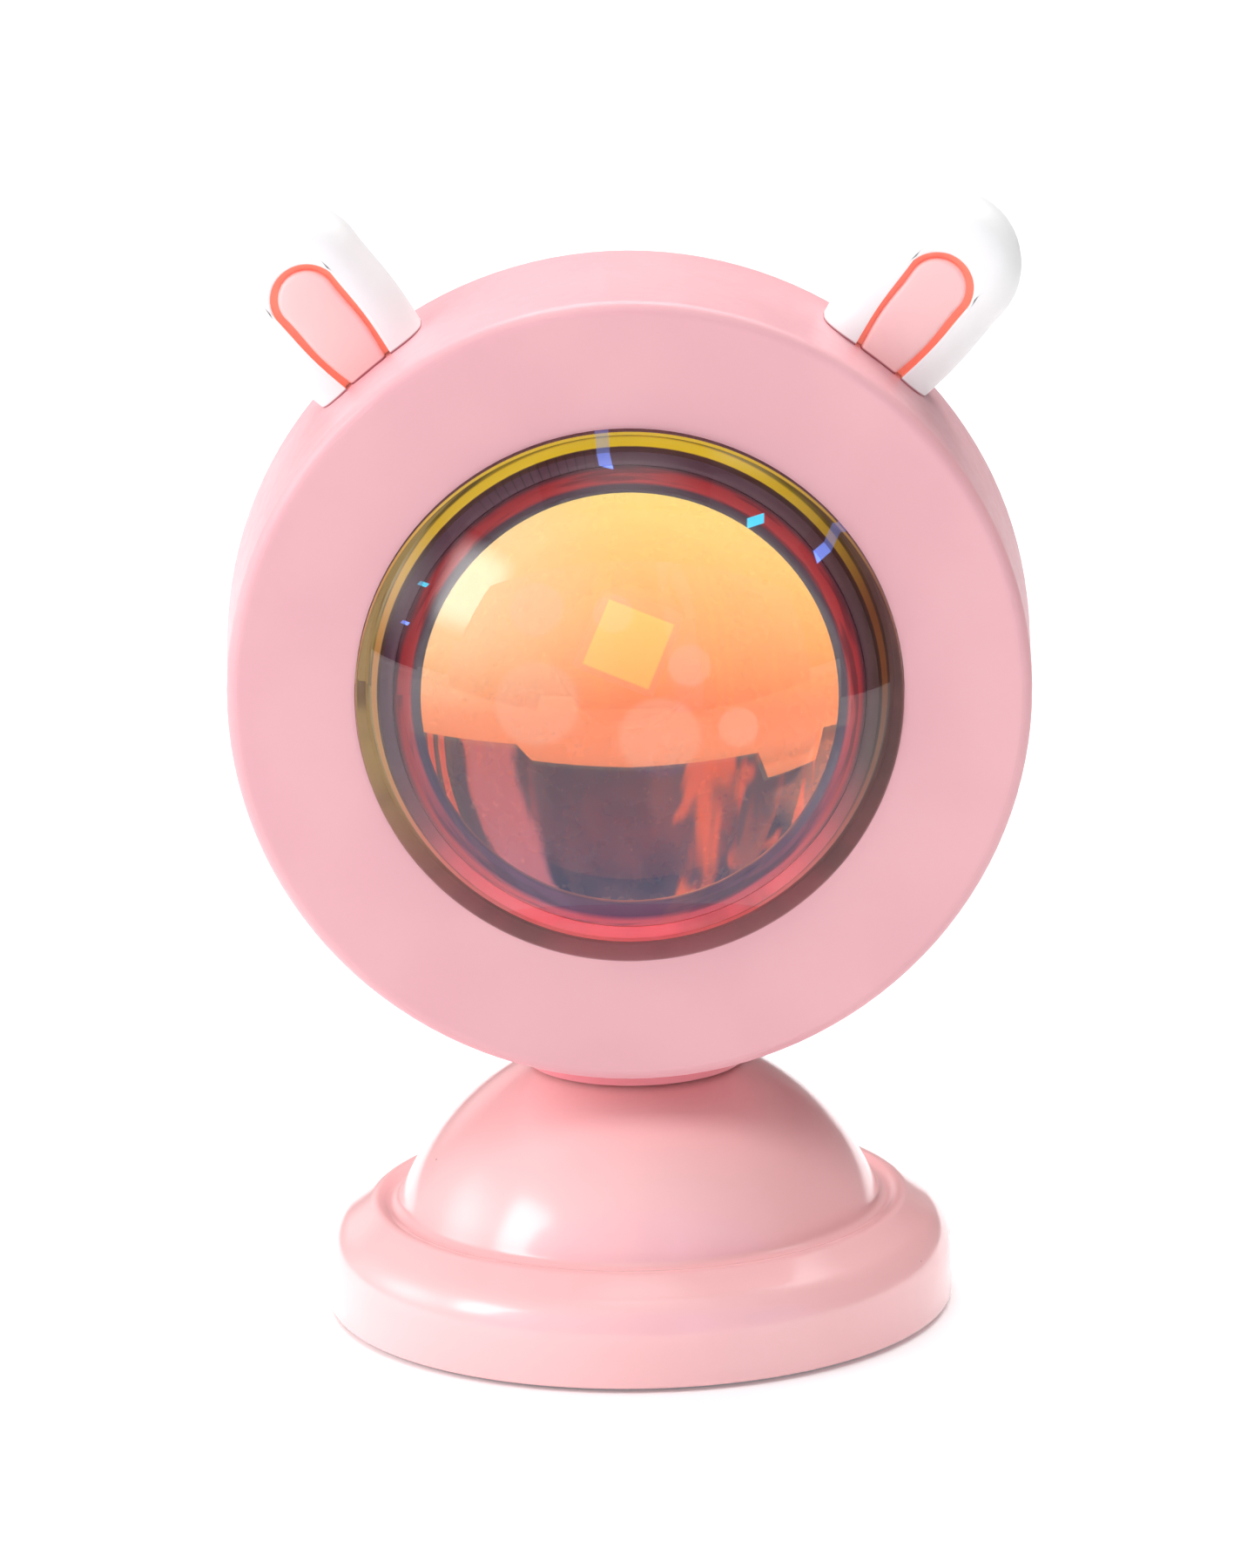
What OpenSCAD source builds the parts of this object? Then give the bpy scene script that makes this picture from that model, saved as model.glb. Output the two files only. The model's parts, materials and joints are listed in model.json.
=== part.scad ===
// Sunset projection lamp: a round lamp head with two ears, held by a magnet on the
// domed top of a weighted round base. Sizes are in millimetres.
// The origin is the centre of the base's underside. +Z is up, the lens faces -Y and
// +X is to the right of someone who looks at the lens.

/* [Base] */
// Outer radius of the base wall
base_r = 31.7; // [29:0.1:36]
// Height at which the wall starts to round over
base_wall_h = 7.2; // [6:0.1:9]
// Height of the wall's lower edge above the table
base_edge_h = 0.5; // [0.3:0.1:0.9]
// Slope of the base's top between wall and crest, in degrees
slope_angle = 34; // [28:1:38]
// Fillet between wall and slope
shoulder_fillet = 1.6; // [1:0.1:2.2]
// Fillet over the crest round the dome
crest_fillet = 1.5; // [1:0.1:1.8]
// Distance of the crest inside the wall
crest_inset = 5.15; // [4.9:0.05:5.4]
// Depth of the narrow moat between crest and dome
moat_depth = 0.75; // [0.4:0.05:1]
// Radius of the dome's ball
dome_r = 26.1; // [25.6:0.1:26.4]
// Height of the dome's top
dome_top = 27.9; // [27.4:0.1:28.4]
// Sheet thickness of the base shell
sheet_t = 1.2; // [0.8:0.1:1.6]
// Radius of the screw posts inside the base
post_r = 2.3; // [2:0.1:2.6]
// Thickness of the soft pad under the base
pad_t = 1; // [0.9:0.1:1.6]
// Distance of the pad's edge inside the wall
pad_inset = 2.2; // [1.6:0.1:3]
// Thickness of the base plate
plate_t = 1.4; // [1.3:0.1:2]
// Height of the ballast's top above its underside
ballast_h = 13.5; // [11:0.5:15]
// Depth of the screw holes in the base's posts
base_hole_depth = 4.2; // [3.8:0.1:4.6]
// Length of the base screws
base_screw_l = 4; // [3:0.1:4.2]

/* [Foot] */
// Radius of the foot's neck
foot_r = 11.2; // [10.5:0.1:12]
// How far the foot's rim reaches below the dome's top
foot_skirt = 2.2; // [1.8:0.1:2.6]
// Thickness of the foot's flange inside the head
foot_flange_t = 1.2; // [1:0.1:1.6]
// Width of the foot's flange outside the neck
foot_flange_w = 1.8; // [1.4:0.1:2.2]
// Thickness of the foot under the magnet
foot_floor_t = 0.8; // [0.5:0.1:1]
// Width of the collar round the foot's hole
collar_t = 2.1; // [1.6:0.1:2.4]
// Radius of the magnet
magnet_r = 8; // [6:0.1:8.6]
// Thickness of the magnet
magnet_t = 4; // [3:0.1:4.4]
// Inner radius of the glide ring
glide_in_r = 5.6; // [4:0.1:6.4]
// Outer radius of the glide ring
glide_out_r = 9.2; // [8:0.1:9.6]
// Thickness of the glide ring
glide_t = 0.8; // [0.6:0.05:0.9]

/* [Drum] */
// Radius of the drum at its front edge
drum_r = 40; // [38.5:0.1:43]
// Growth of the drum's radius from its front edge to the parting line
drum_draft = 0.4; // [0:0.1:0.8]
// Height of the drum's lowest line above the dome's top
head_gap = 0.4; // [0.3:0.05:1]
// Distance of the front face ahead of the foot's axis
face_depth = 19; // [18.4:0.1:20.5]
// Distance of the back behind the foot's axis
back_depth = 17.5; // [17.2:0.1:19]
// Width of the straight rim behind the parting line
rim_w = 2; // [1.8:0.1:3]
// Slope of the back's sides, in degrees
back_taper = 18; // [16:1:20]
// Radius of the back's rounded corner
back_corner_r = 6; // [3:0.5:8]
// Wall thickness of the drum
wall = 2; // [1.6:0.1:2.4]
// Fillet round the front face
edge_fillet = 1.3; // [0.8:0.1:1.6]
// Radius of the circle that the case screws sit on
case_screw_ring_r = 33.6; // [33.4:0.1:34]
// Radius of the screw bosses in the front shell
boss_r = 2.5; // [2.2:0.1:2.7]
// Depth of the case screws' seats behind the parting line
case_seat = 4; // [3:0.1:5]
// Length of the case screws
case_screw_l = 11; // [9:0.5:12]
// Depth of the case screws' holes in the front shell
case_hole_depth = 9; // [8.5:0.5:10]
// Thickness of the rear shell's lip
lip_t = 1; // [0.8:0.1:1.4]
// Height of the rear shell's lip
lip_h = 1.2; // [0.8:0.1:1.6]
// Wall thickness of the ring in the front shell that centres the lens holder
rim_t = 1; // [0.8:0.1:1.2]
// Height of that ring's overlap on the lens holder
rim_h = 1.6; // [1.2:0.1:2]

/* [Lens and light] */
// Radius of the lens body
lens_r = 27.2; // [26:0.1:27.6]
// How far the lens's edge stands proud of the face
lens_proud = 0.8; // [0.3:0.1:1.5]
// Height of the lens's curved front
lens_sag = 14; // [11:0.5:16]
// Width of the lens's flange
lens_flange_w = 1.8; // [1.2:0.1:2.2]
// Thickness of the lens's flange
lens_flange_t = 1.5; // [1:0.1:1.7]
// Thickness of the lens gasket
gasket_t = 0.7; // [0.5:0.1:1]
// Outer radius of the lens holder
holder_r = 30.5; // [29.9:0.1:30.6]
// Wall thickness of the lens holder
holder_t = 2.2; // [1.6:0.1:2.4]
// Width of the holder's rim outside the lens's flange
holder_rim_w = 1.5; // [1.2:0.1:1.6]
// Gap between the lens body and the holder's bore
holder_bore_gap = 0.4; // [0.2:0.1:0.6]
// Depth of the wide bore behind the lens
well_depth = 2.6; // [2.2:0.1:2.8]
// Distance of the filter's ring behind the lens
filter_behind = 0.3; // [0.2:0.1:0.6]
// Thickness of the holder's wall round the filter
filter_wall_t = 1.4; // [1:0.1:1.8]
// Distance of the holder's back ahead of the parting line
holder_ahead = 4.25; // [3.8:0.05:4.4]
// Thickness of the holder's floor behind the reflector
holder_floor_t = 2; // [1.6:0.1:2.4]
// Thickness of the holder's inner walls
holder_inner_t = 2; // [1.6:0.1:2.4]
// Width of the seat for the reflector's flange
reflector_seat_w = 1.4; // [1.2:0.1:1.6]
// Thickness of the reflector
reflector_t = 0.8; // [0.6:0.1:1]
// Radius of the hole in the holder's floor
holder_neck_r = 6; // [5.6:0.1:6.6]
// Distance of the holder's lugs ahead of the parting line
lug_z = 5; // [4.5:0.1:5.5]
// Thickness of the holder's lugs
lug_t = 2; // [1.6:0.1:2.2]
// Length of the holder screws
holder_screw_l = 8; // [6:0.5:8.5]
// Depth of the holder screws' holes, from the back of the lugs
holder_hole_depth = 9; // [8.6:0.1:10]
// Radius of the colour filter
filter_r = 20.6; // [19.6:0.1:21.4]
// Thickness of the colour filter
filter_t = 1.5; // [1:0.1:2]
// Clear radius of the ring in front of the filter
filter_ring_in_r = 17.8; // [16.8:0.1:18.2]
// Thickness of the ring in front of the filter
filter_ring_t = 1.2; // [0.8:0.1:1.6]
// Side of the square light source
emitter_w = 5.6; // [4:0.1:7]
// Thickness of the light source
emitter_t = 1; // [0.6:0.1:1.2]
// Turn of the light source about the optical axis, in degrees
emitter_turn = 23; // [0:1:45]
// Radius of the light source's board and its heat sink
led_board_r = 13.2; // [12.8:0.1:13.5]
// Thickness of the light source's board
led_board_t = 1.6; // [1:0.1:1.8]
// Depth of the heat sink, fins included
heat_sink_d = 5.2; // [4:0.1:5.4]
// Thickness of the heat sink without its fins
sink_floor_t = 1.9; // [1.5:0.1:2.2]
// Thickness of a fin
fin_t = 1.2; // [0.8:0.1:1.6]
// Distance from fin to fin
fin_pitch = 3.4; // [3:0.1:4]
// Distance of the board's screws from the optical axis
led_screw_x = 9.6; // [9:0.1:10]
// How far the board's tab reaches beyond the board
tab_l = 5.2; // [4.8:0.1:5.6]
// Width of the board's tab
tab_w = 6; // [5:0.1:7]
// Distance of a lead from the tab's end
lead_inset = 1.4; // [1:0.1:2]
// Distance between the two leads
lead_pitch = 3; // [2:0.1:4]
// Radius of a wire
wire_r = 0.55; // [0.4:0.05:0.7]

/* [Ears] */
// Lean of each ear's axis from the vertical, in degrees
ear_angle = 39; // [32:1:44]
// Length of an ear outside the drum
ear_len = 18.9; // [15:0.1:22]
// Radius of an ear's tip
ear_tip_r = 7.3; // [6.5:0.1:8]
// Radius of an ear's root
ear_root_r = 6.2; // [5.5:0.1:7]
// Thickness of an ear
ear_t = 9; // [8:0.1:9.6]
// Rounding of an ear's edges
ear_round = 3.3; // [2:0.1:3.6]
// Distance of an ear's front behind the front face
ear_setback = 9.7; // [9:0.1:10]
// Radius of the inner pad's upper end
inner_tip_r = 3.2; // [2.4:0.1:3.4]
// Radius of the inner pad's lower end
inner_root_r = 2.3; // [1.8:0.1:2.6]
// Length of the inner pad
inner_len = 12.8; // [9:0.1:13.2]
// Depth of the pocket for the inner pad
inner_depth = 1.2; // [0.8:0.1:1.6]
// Width of the groove round the inner pad
groove_w = 0.45; // [0.2:0.05:0.6]
// Radius of the peg under an ear
peg_r = 2.5; // [2:0.1:2.8]
// Depth of the screw hole in an ear
ear_hole_depth = 5; // [4.6:0.1:5.6]
// Length of the ear screws
ear_screw_l = 6.6; // [5:0.1:6.8]
// Head radius of the ear screws
ear_screw_head_r = 3.2; // [3:0.1:3.6]

/* [Power] */
// Distance of the main board's front behind the parting line
board_behind = 9.3; // [9.1:0.1:9.5]
// Radius of the main board
board_r = 22.5; // [22:0.1:23.5]
// Thickness of the main board
board_t = 1.2; // [0.8:0.1:1.6]
// Distance of the main board's screws from the head's axis
board_post_ring_r = 19.5; // [19:0.1:20]
// Radius of the posts under the main board
board_post_r = 2.2; // [2:0.1:2.6]
// Depth of the screw holes in those posts
board_hole_depth = 4; // [3.6:0.1:4.4]
// Length of the main board's screws
board_screw_l = 4.6; // [4:0.1:4.8]
// Length of the battery
battery_l = 31; // [24:0.5:31.5]
// Width of the battery
battery_w = 13.2; // [10:0.1:13.4]
// Thickness of the battery
battery_t = 5.6; // [4:0.1:5.8]
// Distance of the battery behind the lens holder
battery_gap = 1.3; // [1:0.1:1.4]
// Gap between the light source's board and the battery tray
tray_gap = 1.1; // [0.8:0.1:1.4]
// Wall thickness of the battery tray
tray_t = 0.8; // [0.6:0.1:0.9]
// Distance of the battery connector from the head's axis
connector_x = 19; // [18.6:0.1:19.4]
// Width of the battery connector
connector_w = 4; // [3.6:0.1:4.4]
// Length of the battery connector
connector_l = 7; // [6:0.1:8]
// Height of the battery connector
connector_h = 4.3; // [3.4:0.1:4.6]
// Length of a driver chip
chip_l = 5; // [4:0.1:6]
// Width of a driver chip
chip_w = 4; // [3:0.1:5]
// Height of a driver chip
chip_h = 1; // [0.8:0.1:1.2]
// Distance of the driver chips from the head's axis
chip_ring_r = 13; // [11:0.1:13.5]
// Side of the switch under the button
tact_w = 6; // [4.5:0.1:6.4]
// Radius of the switch's plunger and the button's stem
plunger_r = 1.6; // [1.2:0.1:2]
// Height of the switch's plunger
plunger_h = 0.55; // [0.4:0.05:0.7]
// Radius of the push button's cap
button_r = 4.5; // [4:0.1:4.8]
// How far the button stands proud of the back
button_proud = 1.1; // [0.8:0.1:2]
// Travel of the button
button_travel = 0.5; // [0.3:0.05:0.6]
// Width of the button's flange inside the shell
button_flange_w = 1.5; // [1.2:0.1:1.8]
// Thickness of the button's flange
button_flange_t = 0.8; // [0.6:0.1:0.9]
// Thickness of the guard round the button's flange
guard_t = 0.9; // [0.7:0.1:1.1]
// Height of the guard round the button's flange
guard_h = 1.9; // [1.6:0.1:2.2]
// Distance of the charging socket below the head's centre
usb_drop = 14; // [13.6:0.1:15]
// Distance of the charge light below the head's centre
light_drop = 9.3; // [9.1:0.1:9.5]
// Width of the charging socket's mouth outside
usb_w = 8.94; // [8.6:0.01:9.2]
// Height of the charging socket's mouth outside
usb_h = 3.26; // [3:0.01:3.5]
// Sheet thickness of the charging socket
usb_wall = 0.3; // [0.2:0.05:0.4]
// Distance of the socket's mouth inside the back
usb_recess = 0.3; // [0.1:0.1:0.6]
// Radius of the light pipe
pipe_r = 1; // [0.8:0.1:1.2]

/* [Screws and clearances] */
// Shank radius of the screws
screw_r = 1; // [0.8:0.05:1.1]
// Head radius of the screws
screw_head_r = 1.9; // [1.7:0.1:2]
// Head height of the screws
screw_head_h = 1.2; // [1:0.1:1.4]
// Head height of the base screws
base_head_h = 0.9; // [0.7:0.1:1.1]
// Width of the slots in a screw's head
slot_w = 0.5; // [0.4:0.1:0.7]
// Depth of the slots in a screw's head
slot_depth = 0.6; // [0.4:0.1:0.8]
// Gap between fixed pieces and in sliding fits
fit = 0.1; // [0.08:0.01:0.12]
// Gap round screws and between faces that just clear
slip = 0.05; // [0.03:0.01:0.07]
// Gap between glide ring and dome
glide_gap = 0.2; // [0.15:0.05:0.25]
// Gap between foot and dome
cup_gap = 0.5; // [0.4:0.05:0.6]
// Gap between pieces that turn past each other
turn_gap = 0.3; // [0.25:0.05:0.35]

/* [Hidden] */
$fn = 96;

join = 0.1;          // overlap of the parts of one solid
through = 1;         // how far a cut reaches past the face that it opens

// Colours
pink = [0.94, 0.70, 0.73];
rose = [0.97, 0.75, 0.77];
white = [0.97, 0.96, 0.95];
black = [0.12, 0.10, 0.11];
steel = [0.75, 0.76, 0.78];
iron = [0.33, 0.33, 0.34];
green = [0.10, 0.35, 0.20];

// --- Base stations ---
ball_z = dome_top - dome_r;
plate_top = pad_t + plate_t;
slope_normal = 90 - slope_angle;
shoulder = [base_r - shoulder_fillet, base_wall_h];
slope_offset = shoulder[0] * cos(slope_normal) + shoulder[1] * sin(slope_normal)
               + shoulder_fillet - crest_fillet;
crest_x = base_r - crest_inset;
crest = [crest_x, (slope_offset - crest_x * cos(slope_normal)) / sin(slope_normal)];
crest_top = crest[1] + crest_fillet;
moat_z = crest_top - moat_depth;
moat_dome_r = sqrt(pow(dome_r, 2) - pow(moat_z - ball_z, 2));
post_ring_r = base_r - sheet_t - post_r;
post_rise = 0.6;     // the posts reach this far into the sloped roof
post_top = base_wall_h + post_rise;
moat_floor_w = 0.25;
hollow_drop = [0.2, 0.4];   // the hollow's upper corners lie this far below a true offset
base_bore_r = screw_r + slip;
ballast_z = plate_top + turn_gap;
ballast_r = post_ring_r - post_r - turn_gap;
ballast_rim_top = moat_z - sheet_t - 2 * turn_gap;

// --- Head stations: z runs towards the front, y is up, both from the head's centre ---
drum_back_r = drum_r + drum_draft;
head_z = dome_top + head_gap + drum_back_r;
face_in = face_depth - wall;
drum_in_r = drum_r - wall;
back_in = back_depth - wall;
// Distance of the back's sloped side from the head's centre, along its normal
side_offset = drum_back_r * cos(back_taper) + rim_w * sin(back_taper);
corner_z = back_corner_r - back_depth;
corner_x = (side_offset - back_corner_r + corner_z * sin(back_taper)) / cos(back_taper);
lip_r = drum_in_r - fit;
boss_in_r = screw_r + slip;
boss_step = 0.5;     // the rear bosses are this much wider than the front ones
rear_boss_r = boss_r + boss_step;
case_angles = [90, 210, 330];

// --- Foot stations (heights above the table) ---
foot_rim_z = dome_top - foot_skirt;
foot_hole_r = foot_r + fit;
foot_flange_r = foot_r + foot_flange_w;
// The flange clears the sloped inside of the back at its rearmost point
collar_top = head_z + turn_gap
             - (side_offset - wall - (foot_flange_r + fit) * sin(back_taper)) / cos(back_taper);
flange_z = collar_top + slip;
flange_top = flange_z + foot_flange_t;
magnet_z = dome_top + cup_gap + foot_floor_t;
cover_z = magnet_z + magnet_t + slip;

// --- Optics ---
lens_open_r = lens_r + fit;
lens_edge_z = face_depth + lens_proud;
lens_ball_r = (pow(lens_r, 2) + pow(lens_sag, 2)) / (2 * lens_sag);
lens_flange_front = face_in - fit;
lens_back = lens_flange_front - lens_flange_t;
lens_flange_r = lens_r + lens_flange_w;
gasket_front = lens_back - slip;
gasket_back = gasket_front - gasket_t;
holder_front = gasket_back - slip;
holder_bore_r = lens_r + holder_bore_gap;
holder_front_r = lens_flange_r + holder_rim_w;
holder_wide_r = max(holder_r, holder_front_r);
shelf_z = holder_front - well_depth;
filter_ring_front = lens_back - filter_behind;
filter_front = filter_ring_front - filter_ring_t;
filter_seat = filter_front - filter_t;
filter_bore_r = filter_r + fit;
filter_tube_r = filter_bore_r + filter_wall_t;
seat_bore_r = filter_ring_in_r + 2 * fit;
reflector_flange_t = 1;
reflector_seat = filter_seat - reflector_flange_t - fit;
reflector_cavity_r = seat_bore_r - reflector_seat_w;
holder_back = holder_ahead;
holder_floor = holder_back + holder_floor_t;
inner_tube_r = filter_bore_r + holder_inner_t;
lug_angles = [0, 180, 240, 300];
rim_in_r = holder_wide_r + fit;
rim_z = holder_front - rim_h;
led_board_back = holder_back - led_board_t;
sink_front = led_board_back;
sink_back = sink_front - heat_sink_d;
lead_x = led_board_r + tab_l - lead_inset;

// --- Power ---
board_front = -board_behind;
board_back = board_front - board_t;
board_angles = [30, 150, 270];
battery_y = led_board_r + tray_gap + tray_t + fit;
battery_back = holder_back - battery_gap - battery_t - fit;
button_flange_r = button_r + button_flange_w;
guard_in_r = button_flange_r + turn_gap;
button_flange_z = -back_in + 1.5 * fit;
stem_step = 0.35;    // the stem stands this far above the button's flange
stem_tip = button_flange_z + button_flange_t + stem_step;
plunger_tip = stem_tip + button_travel + slip;

// --- Ears ---
ear_mid_z = face_depth - ear_setback - ear_t / 2;
ear_front = ear_t / 2;
ear_sink = 2;        // an ear's root lies this far inside the drum's radius
peg_step = 1.2;      // length of the peg inside the ear

function arc(c, r, from, to, steps) =
    [for (i = [0:steps]) let (a = from + (to - from) * i / steps)
        [c[0] + r * cos(a), c[1] + r * sin(a)]];

// Puts children into the head: x right, y up, z towards the front
module in_head() {
    translate([0, 0, head_z]) rotate([90, 0, 0]) children();
}

// Puts children at points on a circle about the head's axis
module around(radius, angles) {
    for (a = angles) rotate([0, 0, a]) translate([radius, 0, 0]) children();
}

module ring(outer_r, inner_r, height) {
    difference() {
        cylinder(r = outer_r, h = height);
        translate([0, 0, -through]) cylinder(r = inner_r, h = height + 2 * through);
    }
}

// A screw that points along +z, with the underside of its head at z = 0
module screw(length, shank_r, head_r, head_h) {
    difference() {
        union() {
            translate([0, 0, -join]) cylinder(r = shank_r, h = length + join);
            translate([0, 0, -head_h]) cylinder(r = head_r, h = head_h);
        }
        for (a = [0, 90]) rotate([0, 0, a])
            translate([-head_r * 0.6, -slot_w / 2, -head_h - through])
                cube([head_r * 1.2, slot_w, through + slot_depth]);
    }
}

// Flat slot with round ends, centred, w wide and h high over all
module round_slot(w, h, depth) {
    for (side = [-1, 1]) translate([side * (w - h) / 2, 0, 0]) cylinder(r = h / 2, h = depth);
    translate([-(w - h) / 2, -h / 2, 0]) cube([w - h, h, depth]);
}

// ---------- Base ----------

function base_outline() = concat(
    [[0, base_edge_h], [base_r, base_edge_h]],
    arc(shoulder, shoulder_fillet, 0, slope_normal, 8),
    arc(crest, crest_fillet, slope_normal, 145, 10),
    [[moat_dome_r + moat_floor_w, moat_z], [0, moat_z]]);

module base_solid() {
    rotate_extrude() polygon(base_outline());
    intersection() {
        translate([0, 0, ball_z]) sphere(r = dome_r);
        translate([0, 0, base_wall_h]) cylinder(r = dome_r + 1, h = dome_r);
    }
}

module base_hollow() {
    slope_in = sheet_t / sin(slope_normal);
    rotate_extrude() polygon([
        [0, -1],
        [base_r - sheet_t, -1],
        [base_r - sheet_t, base_wall_h - hollow_drop[0]],
        [crest_x, crest_top - slope_in - hollow_drop[1]],
        [moat_dome_r, moat_z - sheet_t],
        [0, moat_z - sheet_t]]);
    intersection() {
        translate([0, 0, ball_z]) sphere(r = dome_r - sheet_t);
        translate([0, 0, base_wall_h - 1]) cylinder(r = dome_r + 1, h = dome_r);
    }
}

module base_post_places() {
    for (a = [90, 210, 330]) rotate([0, 0, a]) translate([post_ring_r, 0, 0]) children();
}

module base_shell() {
    color(rose) difference() {
        union() {
            difference() {
                base_solid();
                base_hollow();
            }
            base_post_places() translate([0, 0, plate_top])
                cylinder(r = post_r, h = post_top - plate_top);
        }
        base_post_places() translate([0, 0, plate_top - through])
            cylinder(r = base_bore_r, h = base_hole_depth + through);
    }
}

module base_plate() {
    color(steel) difference() {
        translate([0, 0, pad_t]) cylinder(r = base_r - sheet_t - 1.5 * fit, h = plate_t);
        base_post_places() {
            translate([0, 0, pad_t - through])
                cylinder(r = screw_r + fit, h = plate_t + 2 * through);
            translate([0, 0, pad_t - through])
                cylinder(r = screw_head_r + fit, h = through + base_head_h + slip);
        }
    }
}

module base_pad() {
    color([0.55, 0.58, 0.66]) cylinder(r = base_r - pad_inset, h = pad_t);
}

module base_screws() {
    color(steel) base_post_places() translate([0, 0, pad_t + slip + base_head_h])
        screw(base_screw_l, screw_r, screw_head_r, base_head_h);
}

module ballast() {
    color(iron) {
        translate([0, 0, ballast_z]) cylinder(r = ballast_r, h = ballast_rim_top - ballast_z);
        intersection() {
            translate([0, 0, ball_z]) sphere(r = dome_r - sheet_t - turn_gap);
            translate([0, 0, ballast_z]) cylinder(r = dome_r, h = ballast_h);
        }
    }
}

// ---------- Foot ----------

// Sphere about the dome's centre
module dome_ball(radius) {
    translate([0, 0, ball_z]) sphere(r = radius);
}

module glide_ring() {
    color([0.30, 0.28, 0.30]) intersection() {
        difference() {
            dome_ball(dome_r + glide_gap + glide_t);
            dome_ball(dome_r + glide_gap);
        }
        translate([0, 0, ball_z + dome_r / 2]) ring(glide_out_r, glide_in_r, dome_r);
    }
}

module foot_cup() {
    color(rose) difference() {
        union() {
            translate([0, 0, foot_rim_z]) cylinder(r = foot_r, h = flange_top - foot_rim_z);
            translate([0, 0, flange_z]) cylinder(r = foot_flange_r, h = foot_flange_t);
        }
        dome_ball(dome_r + cup_gap);
        intersection() {
            dome_ball(dome_r + glide_gap + glide_t + fit);
            translate([0, 0, ball_z + dome_r / 2])
                ring(glide_out_r + fit, glide_in_r - fit, dome_r);
        }
        translate([0, 0, magnet_z]) cylinder(r = magnet_r + slip, h = flange_top);
    }
}

module foot_magnet() {
    color(steel) translate([0, 0, magnet_z]) cylinder(r = magnet_r, h = magnet_t);
}

module magnet_cover() {
    color(black) translate([0, 0, cover_z]) cylinder(r = magnet_r, h = flange_top - cover_z);
}

// ---------- Drum ----------

// The drum's outside, from the face to the parting plane, grown by a clearance
module drum_front_solid(grow) {
    rotate_extrude() polygon(concat(
        [[0, 0], [drum_back_r + grow, 0]],
        arc([drum_r - edge_fillet, face_depth - edge_fillet], edge_fillet + grow, 0, 90, 8),
        [[0, face_depth + grow]]));
}

// The drum's outside behind the parting plane, shrunk by an inset, up to z = top
module drum_back_solid(inset, top) {
    rim_r = drum_back_r - inset;
    rotate_extrude() polygon(concat(
        [[0, top], [0, inset - back_depth]],
        arc([corner_x, corner_z], back_corner_r - inset, -90, -back_taper, 10),
        [[rim_r, (rim_r * cos(back_taper) - side_offset + inset) / sin(back_taper)],
         [rim_r, top]]));
}

module foot_hole() {
    cylinder(r = foot_hole_r, h = collar_top + through);
}

// Collar that the foot's flange rests on; side is -1 for the front half
module foot_collar(side) {
    intersection() {
        translate([0, 0, dome_top]) cylinder(r = foot_hole_r + collar_t, h = collar_top - dome_top);
        in_head() if (side < 0) drum_front_solid(-join); else drum_back_solid(join, 0);
    }
}

module front_shell() {
    color(pink) difference() {
        union() {
            in_head() {
                difference() {
                    drum_front_solid(0);
                    translate([0, 0, -through]) cylinder(r = drum_in_r, h = face_in + through);
                }
                translate([0, 0, rim_z]) ring(rim_in_r + rim_t, rim_in_r, face_in - rim_z + join);
                around(case_screw_ring_r, case_angles) cylinder(r = boss_r, h = face_in + join);
                around(case_screw_ring_r, lug_angles) translate([0, 0, lug_z + lug_t])
                    cylinder(r = boss_r, h = face_in + join - lug_z - lug_t);
            }
            foot_collar(-1);
        }
        in_head() {
            translate([0, 0, rim_z]) cylinder(r = lens_open_r, h = face_depth);
            around(case_screw_ring_r, case_angles) translate([0, 0, -through])
                cylinder(r = boss_in_r, h = case_hole_depth + through);
            around(case_screw_ring_r, lug_angles) translate([0, 0, lug_z])
                cylinder(r = boss_in_r, h = holder_hole_depth);
            // Room for the holder's lugs and the screw heads behind them
            around(case_screw_ring_r, lug_angles) translate([0, 0, -through])
                cylinder(r = boss_r + fit, h = lug_z + lug_t + through);
            for (side = [-1, 1]) ear_place(side) rotate([90, 0, 0])
                translate([0, 0, -through]) cylinder(r = peg_r + fit, h = wall + 3 * through);
        }
        foot_hole();
    }
}

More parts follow.
